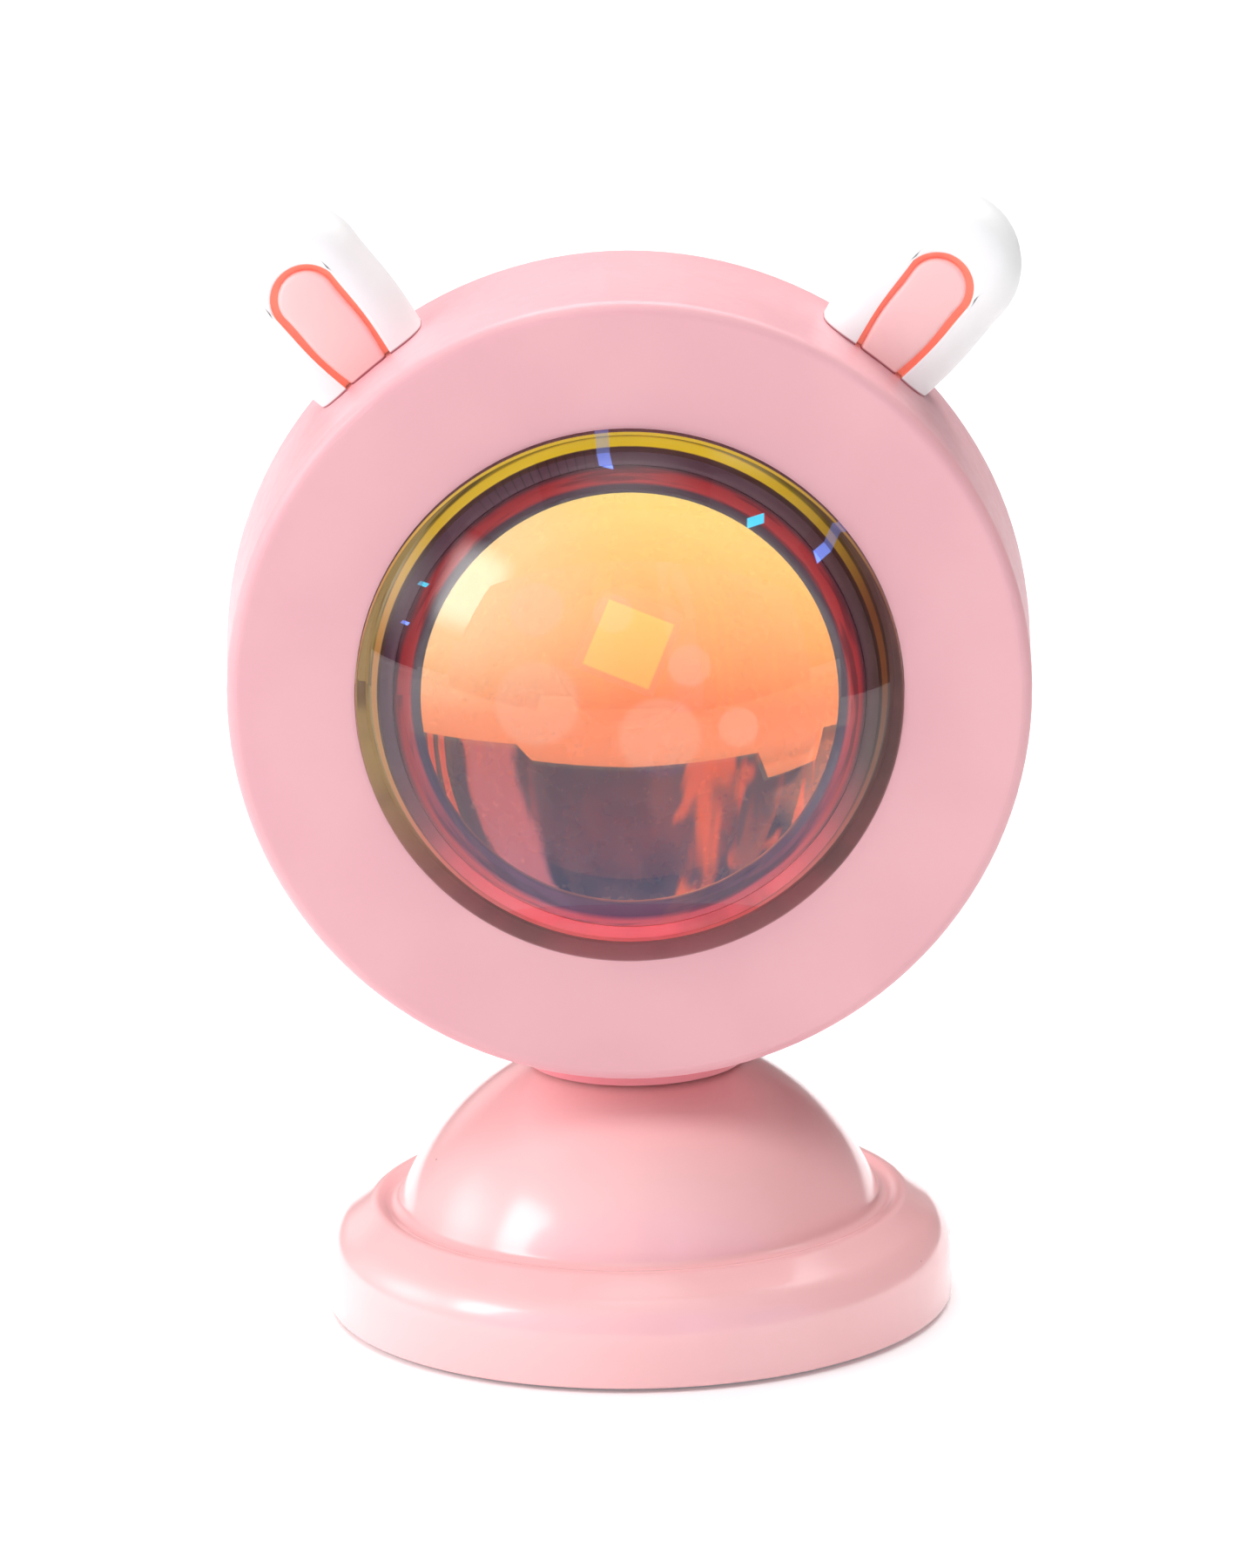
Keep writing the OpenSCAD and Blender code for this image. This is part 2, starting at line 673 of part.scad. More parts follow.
module rear_shell() {
    lip_root = -0.75 * rim_w;
    lip_out_r = drum_back_r - wall + join;
    color(pink) difference() {
        union() {
            in_head() {
                difference() {
                    drum_back_solid(0, 0);
                    drum_back_solid(wall, 1);
                }
                rotate_extrude() polygon([
                    [lip_r - lip_t, lip_root],
                    [lip_out_r, lip_root],
                    [lip_out_r, 0],
                    [lip_r, 0],
                    [lip_r, lip_h],
                    [lip_r - lip_t, lip_h]]);
                intersection() {
                    drum_back_solid(0, 0);
                    around(case_screw_ring_r, case_angles) translate([0, 0, -back_depth])
                        cylinder(r = rear_boss_r, h = back_depth);
                }
                around(board_post_ring_r, board_angles) translate([0, 0, -back_in - join])
                    cylinder(r = board_post_r, h = back_in + join + board_back);
                translate([0, 0, -back_in - join])
                    ring(guard_in_r + guard_t, guard_in_r, guard_h + join);
            }
            foot_collar(1);
        }
        in_head() {
            around(case_screw_ring_r, case_angles) {
                translate([0, 0, -back_depth])
                    cylinder(r = screw_r + fit, h = back_depth + through);
                translate([0, 0, -back_depth])
                    cylinder(r = screw_head_r + turn_gap, h = back_depth - case_seat);
            }
            around(board_post_ring_r, board_angles)
                translate([0, 0, board_back - board_hole_depth])
                    cylinder(r = boss_in_r, h = board_hole_depth + through);
            translate([0, 0, -back_depth - through]) {
                cylinder(r = button_r + 2 * fit, h = wall + 2 * through);
                translate([0, -light_drop, 0])
                    cylinder(r = pipe_r + slip, h = wall + 2 * through);
                translate([0, -usb_drop, 0])
                    round_slot(usb_w + 4 * fit, usb_h + 4 * fit, wall + 2 * through);
            }
        }
        foot_hole();
        // The lip stops short of the foot's collar in the front shell
        intersection() {
            cylinder(r = foot_hole_r + collar_t + fit, h = head_z);
            translate([-drum_r, -drum_r, 0]) cube([2 * drum_r, drum_r, head_z]);
        }
    }
}

module case_screws() {
    color(steel) in_head() around(case_screw_ring_r, case_angles)
        translate([0, 0, -case_seat])
            screw(case_screw_l, screw_r, screw_head_r, screw_head_h);
}

// ---------- Lens and light ----------

module lens() {
    cap_centre = lens_edge_z + lens_sag - lens_ball_r;
    color([0.95, 0.62, 0.45, 0.6]) in_head() {
        translate([0, 0, lens_back]) cylinder(r = lens_flange_r, h = lens_flange_t);
        translate([0, 0, lens_back]) cylinder(r = lens_r, h = lens_edge_z - lens_back);
        intersection() {
            translate([0, 0, cap_centre]) sphere(r = lens_ball_r);
            translate([0, 0, lens_edge_z - join]) cylinder(r = lens_r, h = lens_sag + 1);
        }
    }
}

module lens_gasket() {
    color(black) in_head() translate([0, 0, gasket_back])
        ring(lens_flange_r, holder_bore_r, gasket_t);
}

module lens_holder() {
    web_z = shelf_z - holder_inner_t;
    step_z = reflector_seat - 0.8 * holder_inner_t;
    cone_r = reflector_cavity_r + holder_inner_t;
    height = holder_front - holder_back;
    color(black) difference() {
        in_head() difference() {
            union() {
                // Outer tube, and the wider or narrower ring that carries the gasket
                translate([0, 0, holder_back])
                    ring(holder_r, holder_r - holder_t, shelf_z - holder_back);
                translate([0, 0, web_z])
                    ring(holder_front_r, holder_bore_r, holder_front - web_z);
                // Web and stepped inner tube
                rotate_extrude() polygon([
                    [holder_wide_r, web_z],
                    [holder_wide_r, shelf_z],
                    [filter_tube_r, shelf_z],
                    [filter_tube_r, filter_ring_front],
                    [filter_bore_r, filter_ring_front],
                    [filter_bore_r, filter_seat],
                    [seat_bore_r, filter_seat],
                    [seat_bore_r, reflector_seat],
                    [reflector_cavity_r, reflector_seat],
                    [reflector_cavity_r, holder_floor],
                    [holder_neck_r, holder_floor],
                    [holder_neck_r, holder_back],
                    [cone_r, holder_back],
                    [cone_r, step_z],
                    [inner_tube_r, step_z],
                    [inner_tube_r, web_z]]);
                around(case_screw_ring_r, lug_angles) translate([0, 0, lug_z])
                    cylinder(r = boss_r, h = lug_t);
                for (a = lug_angles) rotate([0, 0, a])
                    translate([holder_r - 1, -boss_r, lug_z])
                        cube([case_screw_ring_r - holder_r + 1, 2 * boss_r, lug_t]);
            }
            around(case_screw_ring_r, lug_angles) translate([0, 0, lug_z - through])
                cylinder(r = screw_r + fit, h = lug_t + 2 * through);
            around(led_screw_x, [90, 270]) translate([0, 0, holder_back - through])
                cylinder(r = boss_in_r, h = holder_floor_t + 2 * through);
            // Room for the case bosses, for the bosses ahead of the lugs and for screw heads
            around(case_screw_ring_r, case_angles) translate([0, 0, holder_back - through])
                cylinder(r = rear_boss_r + slip, h = height + 2 * through);
            around(case_screw_ring_r, lug_angles) {
                translate([0, 0, lug_z + lug_t]) cylinder(r = boss_r + fit, h = height);
                translate([0, 0, lug_z - height]) cylinder(r = screw_head_r + fit, h = height);
            }
        }
        // Room for the foot
        cylinder(r = foot_hole_r + collar_t + turn_gap, h = flange_top + turn_gap);
    }
}

module holder_screws() {
    color(steel) in_head() around(case_screw_ring_r, lug_angles)
        translate([0, 0, lug_z])
            screw(holder_screw_l, screw_r, screw_head_r, screw_head_h);
}

module filter_ring() {
    color([0.80, 0.28, 0.25]) in_head() translate([0, 0, filter_front])
        ring(filter_r, filter_ring_in_r, filter_ring_t);
}

module colour_filter() {
    color([0.98, 0.60, 0.30]) in_head() translate([0, 0, filter_seat])
        cylinder(r = filter_r, h = filter_t);
}

module reflector() {
    cup_r = reflector_cavity_r - fit;
    neck_r = holder_neck_r - fit - reflector_t;
    neck_z = holder_back + emitter_t + 2 * fit;
    cup_z = holder_floor + turn_gap;
    color([0.92, 0.92, 0.93]) in_head() rotate_extrude() polygon([
        [neck_r, neck_z],
        [neck_r + reflector_t, neck_z],
        [neck_r + reflector_t, cup_z],
        [cup_r, reflector_seat],
        [seat_bore_r - fit, reflector_seat],
        [seat_bore_r - fit, reflector_seat + reflector_flange_t],
        [cup_r - reflector_t, reflector_seat + reflector_flange_t],
        [neck_r, cup_z + reflector_t]]);
}

module led_emitter() {
    color([1, 0.80, 0.35]) in_head() rotate([0, 0, -emitter_turn])
        translate([-emitter_w / 2, -emitter_w / 2, holder_back])
            cube([emitter_w, emitter_w, emitter_t]);
}

module led_board() {
    color(white) in_head() difference() {
        union() {
            translate([0, 0, led_board_back]) cylinder(r = led_board_r, h = led_board_t);
            translate([-led_board_r - tab_l, -tab_w / 2, led_board_back])
                cube([led_board_r + tab_l - holder_neck_r, tab_w, led_board_t]);
        }
        around(led_screw_x, [90, 270]) translate([0, 0, led_board_back - through])
            cylinder(r = screw_r + fit, h = led_board_t + 2 * through);
    }
}

module heat_sink() {
    fins_per_side = floor(led_board_r / fin_pitch);
    color(steel) in_head() difference() {
        union() {
            translate([0, 0, sink_front - sink_floor_t])
                cylinder(r = led_board_r, h = sink_floor_t);
            intersection() {
                translate([0, 0, sink_back]) cylinder(r = led_board_r, h = heat_sink_d - join);
                for (i = [-fins_per_side:fins_per_side])
                    translate([i * fin_pitch - fin_t / 2, -led_board_r, sink_back])
                        cube([fin_t, 2 * led_board_r, heat_sink_d - join]);
            }
        }
        around(led_screw_x, [90, 270]) {
            translate([0, 0, sink_back - through])
                cylinder(r = screw_r + fit, h = heat_sink_d + 2 * through);
            translate([0, 0, sink_back - through])
                cylinder(r = screw_head_r + fit, h = heat_sink_d - sink_floor_t + through);
        }
    }
}

module led_screws() {
    color(steel) in_head() around(led_screw_x, [90, 270])
        translate([0, 0, sink_front - sink_floor_t])
            screw(sink_floor_t + led_board_t + holder_floor_t - turn_gap,
                  screw_r, screw_head_r, screw_head_h);
}

module led_leads() {
    color([0.75, 0.10, 0.10]) in_head() for (side = [-1, 1])
        translate([-lead_x, side * lead_pitch / 2, board_front])
            cylinder(r = wire_r, h = led_board_back - board_front, $fn = 24);
}

// ---------- Power ----------

module battery() {
    color([0.35, 0.55, 0.75]) in_head()
        translate([-battery_l / 2, battery_y, battery_back])
            cube([battery_l, battery_w, battery_t]);
}

module battery_tray() {
    out = tray_t + fit;
    notch_w = 5;
    notch_roof = 1.4;
    color(black) in_head() difference() {
        translate([-battery_l / 2 - out, battery_y - out, battery_back + 1])
            cube([battery_l + 2 * out, battery_w + 2 * out, holder_back - battery_back - 1]);
        translate([-battery_l / 2 - fit, battery_y - fit, battery_back - 1])
            cube([battery_l + 2 * fit, battery_w + 2 * fit, battery_t + fit + 1]);
        // Notch that lets the leads out
        translate([battery_l / 2 - through, battery_y + through, battery_back])
            cube([out + 2 * through, notch_w, battery_t - notch_roof]);
    }
}

module battery_connector() {
    color(white) in_head()
        translate([connector_x - connector_w / 2, -connector_l / 2, board_front])
            cube([connector_w, connector_l, connector_h]);
}

// A wire with round bends through a list of points
module wire(points) {
    for (i = [0:len(points) - 2]) {
        span = points[i + 1] - points[i];
        length = norm(span);
        translate(points[i]) rotate([0, acos(span[2] / length), atan2(span[1], span[0])])
            cylinder(r = wire_r, h = length, $fn = 24);
    }
    for (i = [1:len(points) - 2]) translate(points[i]) sphere(r = wire_r, $fn = 24);
}

module battery_leads() {
    low_z = board_front + 0.56 * connector_h;
    high_z = battery_back + 1;
    spread = 3 * wire_r;
    first_y = battery_y + 2;
    color([0.75, 0.10, 0.10]) in_head() for (i = [0, 1]) {
        lane_x = connector_x + spread * (i - 0.5);
        lane_y = first_y + spread * i;
        wire([[battery_l / 2 + slip, lane_y, high_z],
              [lane_x, lane_y, high_z],
              [lane_x, lane_y, low_z],
              [lane_x, connector_l / 2, low_z]]);
    }
}

module main_board() {
    color(green) in_head() difference() {
        translate([0, 0, board_back]) cylinder(r = board_r, h = board_t);
        around(board_post_ring_r, board_angles) translate([0, 0, board_back - through])
            cylinder(r = screw_r + fit, h = board_t + 2 * through);
    }
}

module board_screws() {
    color(steel) in_head() around(board_post_ring_r, board_angles)
        translate([0, 0, board_front]) rotate([180, 0, 0])
            screw(board_screw_l, screw_r, screw_head_r, screw_head_h);
}

module driver_chips() {
    color(black) in_head() around(chip_ring_r, [225, 270, 315])
        translate([-chip_w / 2, -chip_l / 2, board_front]) cube([chip_w, chip_l, chip_h]);
}

module tact_switch() {
    tact_top = plunger_tip + plunger_h;
    color(black) in_head() {
        translate([-tact_w / 2, -tact_w / 2, tact_top])
            cube([tact_w, tact_w, board_back - tact_top]);
        translate([0, 0, plunger_tip]) cylinder(r = plunger_r, h = plunger_h + join);
    }
}

module charge_light() {
    light_h = 0.8 * pipe_r;
    color([0.95, 0.95, 0.80]) in_head()
        translate([-pipe_r, -light_drop - 0.6 * pipe_r, board_back - light_h])
            cube([2 * pipe_r, 1.2 * pipe_r, light_h]);
}

module light_pipe() {
    pipe_top = board_back - 1;
    pipe_end = fit - back_depth;
    flange_t = 0.8 * pipe_r;
    color([0.9, 0.9, 0.9]) in_head() translate([0, -light_drop, 0]) {
        translate([0, 0, pipe_end]) cylinder(r = pipe_r, h = pipe_top - pipe_end);
        translate([0, 0, slip - back_in]) cylinder(r = 1.5 * pipe_r, h = flange_t);
    }
}

module usb_socket() {
    length = back_depth - usb_recess + board_back;
    floor_t = 1.5;
    tongue_w = 6.6;
    tongue_t = 0.7;
    tongue_inset = 0.8;
    color(steel) in_head() translate([0, -usb_drop, usb_recess - back_depth]) {
        difference() {
            round_slot(usb_w, usb_h, length);
            translate([0, 0, -through]) round_slot(usb_w - 2 * usb_wall, usb_h - 2 * usb_wall,
                                                   length - floor_t + through);
        }
        translate([-tongue_w / 2, -tongue_t / 2, tongue_inset])
            cube([tongue_w, tongue_t, length - tongue_inset - slip]);
    }
}

module power_button() {
    cap_back = -back_depth - button_proud;
    edge = 0.4;
    dish = 0.25;
    land = 1.2;
    color(pink) in_head() rotate_extrude() polygon(concat(
        [[0, cap_back + dish], [button_r - land, cap_back]],
        arc([button_r - edge, cap_back + edge], edge, -90, 0, 4),
        [[button_r, button_flange_z],
         [button_flange_r, button_flange_z],
         [button_flange_r, button_flange_z + button_flange_t],
         [plunger_r, button_flange_z + button_flange_t],
         [plunger_r, stem_tip],
         [0, stem_tip]]));
}

// ---------- Ears ----------

// Puts children on the drum: x across the ear, y outward from the drum, z to the front
module ear_place(side) {
    rotate([0, 0, -side * ear_angle]) translate([0, drum_r, ear_mid_z]) children();
}

// Disc with rounded edges, centred on z = 0
module soft_disc(r, t, round_r) {
    rotate_extrude($fn = 48) polygon(concat(
        [[0, -t / 2]],
        arc([r - round_r, round_r - t / 2], round_r, -90, 0, 5),
        arc([r - round_r, t / 2 - round_r], round_r, 0, 90, 5),
        [[0, t / 2]]));
}

module inner_outline(grow, depth) {
    hull() {
        translate([0, inner_len - inner_tip_r, 0]) cylinder(r = inner_tip_r + grow, h = depth);
        translate([0, -ear_sink / 2, 0]) cylinder(r = inner_root_r + grow, h = depth);
    }
}

// Screw hole up the middle of an ear
module ear_bore() {
    rotate([-90, 0, 0]) translate([0, 0, -ear_hole_depth])
        cylinder(r = boss_in_r, h = 2 * ear_hole_depth);
}

module ear(side) {
    color(white) in_head() {
        difference() {
            ear_place(side) difference() {
                hull() {
                    translate([0, ear_len - ear_tip_r, 0]) soft_disc(ear_tip_r, ear_t, ear_round);
                    translate([0, -ear_sink, 0]) soft_disc(ear_root_r, ear_t, ear_round);
                }
                translate([0, 0, ear_front - inner_depth])
                    inner_outline(groove_w, inner_depth + through);
                ear_bore();
            }
            drum_front_solid(slip);
            translate([0, 0, -drum_r]) cylinder(r = drum_back_r + slip, h = drum_r);
        }
        ear_place(side) difference() {
            rotate([-90, 0, 0]) translate([0, 0, slip - wall])
                cylinder(r = peg_r, h = wall + peg_step);
            ear_bore();
        }
    }
}

module ear_left() { ear(-1); }
module ear_right() { ear(1); }

module ear_inner(side) {
    color(rose) in_head() difference() {
        ear_place(side) translate([0, 0, ear_front - inner_depth])
            inner_outline(0, inner_depth + fit);
        drum_front_solid(slip);
    }
}

module ear_inner_left() { ear_inner(-1); }
module ear_inner_right() { ear_inner(1); }

module ear_screws() {
    color(steel) in_head() for (side = [-1, 1]) ear_place(side)
        rotate([-90, 0, 0]) translate([0, 0, -wall - turn_gap])
            screw(ear_screw_l, screw_r, ear_screw_head_r, screw_head_h);
}

base_pad();
base_plate();
base_screws();
base_shell();
ballast();
glide_ring();
foot_cup();
foot_magnet();
magnet_cover();
front_shell();
rear_shell();
case_screws();
lens();
lens_gasket();
lens_holder();
holder_screws();
filter_ring();
colour_filter();
reflector();
led_emitter();
led_board();
heat_sink();
led_screws();
led_leads();
battery();
battery_tray();
battery_leads();
battery_connector();
main_board();
board_screws();
driver_chips();
tact_switch();
charge_light();
light_pipe();
usb_socket();
power_button();
ear_left();
ear_right();
ear_inner_left();
ear_inner_right();
ear_screws();
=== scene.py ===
"""Finishes, smooth visible forms, stage, light and camera of the sunset projection lamp.

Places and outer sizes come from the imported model's boxes, and finer sizes repeat the part's own.
Blender's lengths are metres; MM turns millimetres into them.
"""

import json
import math

import bmesh
import bpy
from mathutils import Matrix, Vector


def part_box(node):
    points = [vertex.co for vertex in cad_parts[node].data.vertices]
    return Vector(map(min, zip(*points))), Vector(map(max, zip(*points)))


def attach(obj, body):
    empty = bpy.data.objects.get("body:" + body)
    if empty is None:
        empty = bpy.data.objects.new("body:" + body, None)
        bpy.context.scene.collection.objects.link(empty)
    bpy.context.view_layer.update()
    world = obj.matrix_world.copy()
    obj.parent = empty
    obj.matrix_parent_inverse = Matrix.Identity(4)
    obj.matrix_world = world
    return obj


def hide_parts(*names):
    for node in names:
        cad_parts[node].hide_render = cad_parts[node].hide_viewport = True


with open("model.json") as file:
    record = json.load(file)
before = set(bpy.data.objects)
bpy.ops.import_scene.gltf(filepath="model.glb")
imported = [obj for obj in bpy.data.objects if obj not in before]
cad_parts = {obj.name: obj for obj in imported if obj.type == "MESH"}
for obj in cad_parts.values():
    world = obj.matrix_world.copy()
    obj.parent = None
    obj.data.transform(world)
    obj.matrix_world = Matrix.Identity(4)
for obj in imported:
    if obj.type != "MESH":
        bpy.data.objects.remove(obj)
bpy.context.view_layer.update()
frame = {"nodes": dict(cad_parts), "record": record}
nodes = frame["nodes"]
MM = 0.001

# ---------- Head ----------

drum_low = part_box("front_shell")[0]
lens_low, lens_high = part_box("lens")
filter_low, filter_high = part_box("colour_filter")
ring_low, ring_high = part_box("filter_ring")

HEAD_Z = (lens_low.z + lens_high.z) / 2
FACE_Y = drum_low.y
DRUM_R = 40 * MM
LENS_R = 27.2 * MM
LENS_PROUD = 0.8 * MM
LENS_FLANGE_T = 1.5 * MM
LENS_EDGE_Y = FACE_Y - LENS_PROUD
LENS_BACK_Y = lens_high.y
LENS_SAG = LENS_EDGE_Y - lens_low.y
LENS_BALL_R = (LENS_R**2 + LENS_SAG**2) / (2 * LENS_SAG)
FILTER_R = (filter_high.x - filter_low.x) / 2
RING_R = (ring_high.x - ring_low.x) / 2
RING_IN_R = 17.8 * MM
RING_FRONT_Y = ring_low.y
GROOVE_FROM = 0.6 * MM  # where the holder's groove of painted reflections and glow starts, behind the ring's front face
GROOVE_OUTER_FROM = 1.7 * MM  # where the groove's darker painted reflection starts
TUBE_RIBS = 160.0  # in a full turn, of which only the upper left stretch shows
LED_SIDE = 5.6 * MM
LED_TURN = math.radians(23)
LED_RIM = 0.5 * MM

# Paler round marks on the filter: x and y from its centre, and radius, in millimetres
FILM_SPOTS = (
    (-7.4, 6.7, 2.2),
    (-7.4, -1.1, 3.4),
    (2.3, -4.0, 3.2),
    (8.6, -3.3, 1.6),
    (4.8, 1.8, 1.7),
    (-1.2, 6.2, 1.6),
)
FILM_SPOT_SHARE = 0.22  # how far a mark moves the coating's colour towards its own
FILM_CLEAR = 0.3  # share of the light that passes the coating
# Glints of split light behind the lens's edge: x and y from its centre, turn in degrees, length and
# width; lengths are in millimetres
GLINTS = (
    (-1.9, 21.6, 100, 2.6, 1.3),
    (11.3, 15.1, 20, 1.9, 1.0),
    (17.4, 12.4, 38, 2.3, 1.2),
    (-18.0, 10.0, 160, 1.1, 0.45),
    (-19.6, 6.5, 160, 0.9, 0.35),
)

# ---------- Base ----------

base_low, base_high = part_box("base_shell")

DOME_R = 26.1 * MM
SHEET_T = 1.2 * MM
SLOPE_ANGLE = 34
SLOPE_OFFSET = 24.4 * MM  # from the frame's origin to the slope's surface, square to it
SHOULDER_FILLET = 5 * MM
CREST_R = 26.55 * MM
CREST_FILLET = 1.5 * MM
MOAT_FILLET = 1.2 * MM
EDGE_ROUND = 0.4 * MM
POST_ANGLES = (90, 210, 330)
POST_RING_R = 28.2 * MM
POST_R = 2.3 * MM
POST_BORE_R = 1.05 * MM
POST_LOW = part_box("base_plate")[1].z
POST_TOP = 7 * MM

# ---------- Ears ----------

ear_low, ear_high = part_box("ear_left")

EAR_ANGLE = math.radians(39)
EAR_LEN = 18.9 * MM
EAR_TIP_R = 7.3 * MM
EAR_ROOT_R = 6.2 * MM
EAR_ROOT_Y = -2 * MM
EAR_T = 9 * MM
EAR_MID_Y = (ear_low.y + ear_high.y) / 2
EAR_ROUND = 3.6 * MM
EAR_BOW = 0.3 * MM
EAR_SINK = 0.2 * MM  # how far the ear's root reaches into the drum
POCKET_DEPTH = 1.2 * MM
POCKET_LIP = 0.25 * MM
GROOVE_W = 0.45 * MM
PAD_TIP_R = 3.2 * MM
PAD_ROOT_R = 2.3 * MM
PAD_ROOT_Y = -1 * MM
PAD_LEN = 12.8 * MM
PAD_BOW = 0.35 * MM
PAD_SINK = 0.1 * MM
PAD_SLACK = 0.28 * MM
PAD_LIFT = 0.02 * MM  # clearance between the pad and its pocket's floor
PAD_PROUD = 0.05 * MM
PAD_EDGE = 0.55 * MM
PAD_CROWN = 0.12 * MM
SEAM_SHADE_OUT = 0.5 * MM  # the painted shade where ear meets drum fades out this far from the drum
SEAM_SHADE_IN = 0.28 * MM  # and is full from here inward

# ---------- Material helpers ----------


def srgb(red, green, blue):
    """A colour from 0-255 display values, as the linear RGBA that sockets take."""
    linear = []
    for value in (red, green, blue):
        c = value / 255
        linear.append(c / 12.92 if c <= 0.04045 else ((c + 0.055) / 1.055) ** 2.4)
    return (*linear, 1.0)


class Tree:
    """Helpers that add linked nodes to a material's or a world's node tree."""

    def __init__(self, tree):
        self.tree = tree

    def set(self, node, socket, value):
        """Links a socket, or sets the plain value, on a node's input."""
        target = node.inputs[socket]
        if isinstance(value, bpy.types.NodeSocket):
            self.tree.links.new(value, target)
        else:
            target.default_value = value

    def node(self, kind, inputs=None, **settings):
        made = self.tree.nodes.new(kind)
        for key, value in settings.items():
            setattr(made, key, value)
        for socket, value in (inputs or {}).items():
            self.set(made, socket, value)
        return made

    def place(self):
        """Position in the object's own frame, in metres."""
        return self.node("ShaderNodeTexCoord").outputs["Object"]

    def axes(self):
        """The position's X, Y and Z, each as a socket."""
        return self.node("ShaderNodeSeparateXYZ", {"Vector": self.place()}).outputs

    def noise(self, size, detail=2.0, vector=None, distortion=0.0):
        """Noise whose features are about size metres wide."""
        inputs = {"Scale": 1 / size, "Detail": detail, "Distortion": distortion}
        inputs["Vector"] = vector or self.place()
        return self.node("ShaderNodeTexNoise", inputs).outputs["Fac"]

    def maths(self, operation, *values):
        return self.node("ShaderNodeMath", dict(enumerate(values)), operation=operation).outputs[0]

    def span(self, value, low, high, to_low=0.0, to_high=1.0, smooth=True):
        """value mapped from low..high to to_low..to_high, clamped."""
        inputs = {"Value": value, "From Min": low, "From Max": high, "To Min": to_low, "To Max": to_high}
        blend = "SMOOTHSTEP" if smooth else "LINEAR"
        return self.node("ShaderNodeMapRange", inputs, interpolation_type=blend).outputs["Result"]

    def spread(self, noise, low=0.0, high=1.0, margin=0.3):
        """Noise stretched to low..high from the middle of its range, with a margin cut off at both ends."""
        return self.span(noise, margin, 1 - margin, low, high)

    def mix(self, share, first, second):
        """A colour from first at share 0 to second at share 1."""
        return self.node("ShaderNodeMix", {0: share, 6: first, 7: second}, data_type="RGBA").outputs[2]

    def ramp(self, value, stops):
        made = self.node("ShaderNodeValToRGB", {"Fac": value})
        band = made.color_ramp
        while len(band.elements) < len(stops):
            band.elements.new(1.0)
        for element, (position, colour) in zip(band.elements, stops):
            element.position, element.color = position, colour
        return made.outputs["Color"]

    def on_front(self, x=0.0, y=0.0):
        """Distances to the right of and above a spot on the drum's front, x and y from the lens's axis."""
        place = self.axes()
        return self.maths("SUBTRACT", place["X"], x), self.maths("SUBTRACT", place["Z"], HEAD_Z + y)

    def reach(self, across, up):
        """Length of the way that goes across and up."""
        squares = self.maths("ADD", self.maths("POWER", across, 2.0), self.maths("POWER", up, 2.0))
        return self.maths("SQRT", squares)

    def turned(self, across, up, turn):
        """The same way, along and square to a direction that is turned up from the right, in radians."""
        cosine, sine = math.cos(turn), math.sin(turn)
        along = self.maths("ADD", self.maths("MULTIPLY", across, cosine), self.maths("MULTIPLY", up, sine))
        aside = self.maths("ADD", self.maths("MULTIPLY", across, -sine), self.maths("MULTIPLY", up, cosine))
        return along, aside

    def polar(self):
        """Distance from the lens's axis and angle from the right, on the drum's front."""
        across, up = self.on_front()
        return self.reach(across, up), self.maths("ARCTAN2", up, across)

    def spot(self, x, y, radius, soft):
        """1 inside a round spot on the drum's front, falling to 0 at its soft edge."""
        away = self.reach(*self.on_front(x, y))
        return self.span(away, radius * (1 - soft), radius * (1 + soft), 1.0, 0.0)

    def dash(self, x, y, turn, length, width):
        """1 inside a slanted bar on the drum's front; turn in radians."""
        along, aside = self.turned(*self.on_front(x, y), turn)
        slanted = self.maths("SUBTRACT", along, self.maths("MULTIPLY", aside, 0.5))
        in_length = self.span(self.maths("ABSOLUTE", slanted), length / 2, length * 0.4)
        in_width = self.span(self.maths("ABSOLUTE", aside), width / 2, width * 0.4)
        return self.maths("MULTIPLY", in_length, in_width)

    def near_angle(self, angle, degrees, half_width):
        """1 at an angle in degrees, falling to 0 half_width degrees away on either side."""
        away = self.maths("COSINE", self.maths("SUBTRACT", angle, math.radians(degrees)))
        return self.span(away, math.cos(math.radians(half_width)), 1.0)

    def streaks(self, angle, across):
        """0..1 streaks that run round the lens, fine in the direction across."""
        round_lens = self.maths("MULTIPLY", angle, 0.7)
        fine = self.maths("MULTIPLY", across, 420.0)
        vector = self.node("ShaderNodeCombineXYZ", {0: round_lens, 1: fine}).outputs["Vector"]
        return self.span(self.noise(1 / 3, detail=3.0, vector=vector), 0.48, 0.62)


class Finish(Tree):
    """A procedural material: one Principled shader and the nodes that feed it."""

    def __init__(self, name, **sockets):
        self.material = bpy.data.materials.new(name)
        self.material.use_nodes = True
        super().__init__(self.material.node_tree)
        self.shader = self.tree.nodes["Principled BSDF"]
        self.feed(**sockets)

    def feed(self, **sockets):
        """Links or sets the shader's sockets; their names have _ for each space."""
        for socket, value in sockets.items():
            self.set(self.shader, socket.replace("_", " "), value)

    def bump(self, height, depth):
        """Relief of a real depth in metres, linked to the shader's normal."""
        made = self.node("ShaderNodeBump", {"Height": height, "Distance": depth, "Strength": 1.0})
        self.feed(Normal=made.outputs["Normal"])

    def drifting(self, size, colour, shade):
        """A display colour that drifts to its shade and back, over about size metres."""
        share = self.spread(self.noise(size, detail=1.0), margin=0.35)
        return self.mix(share, srgb(*colour), srgb(*shade))


# ---------- Materials ----------

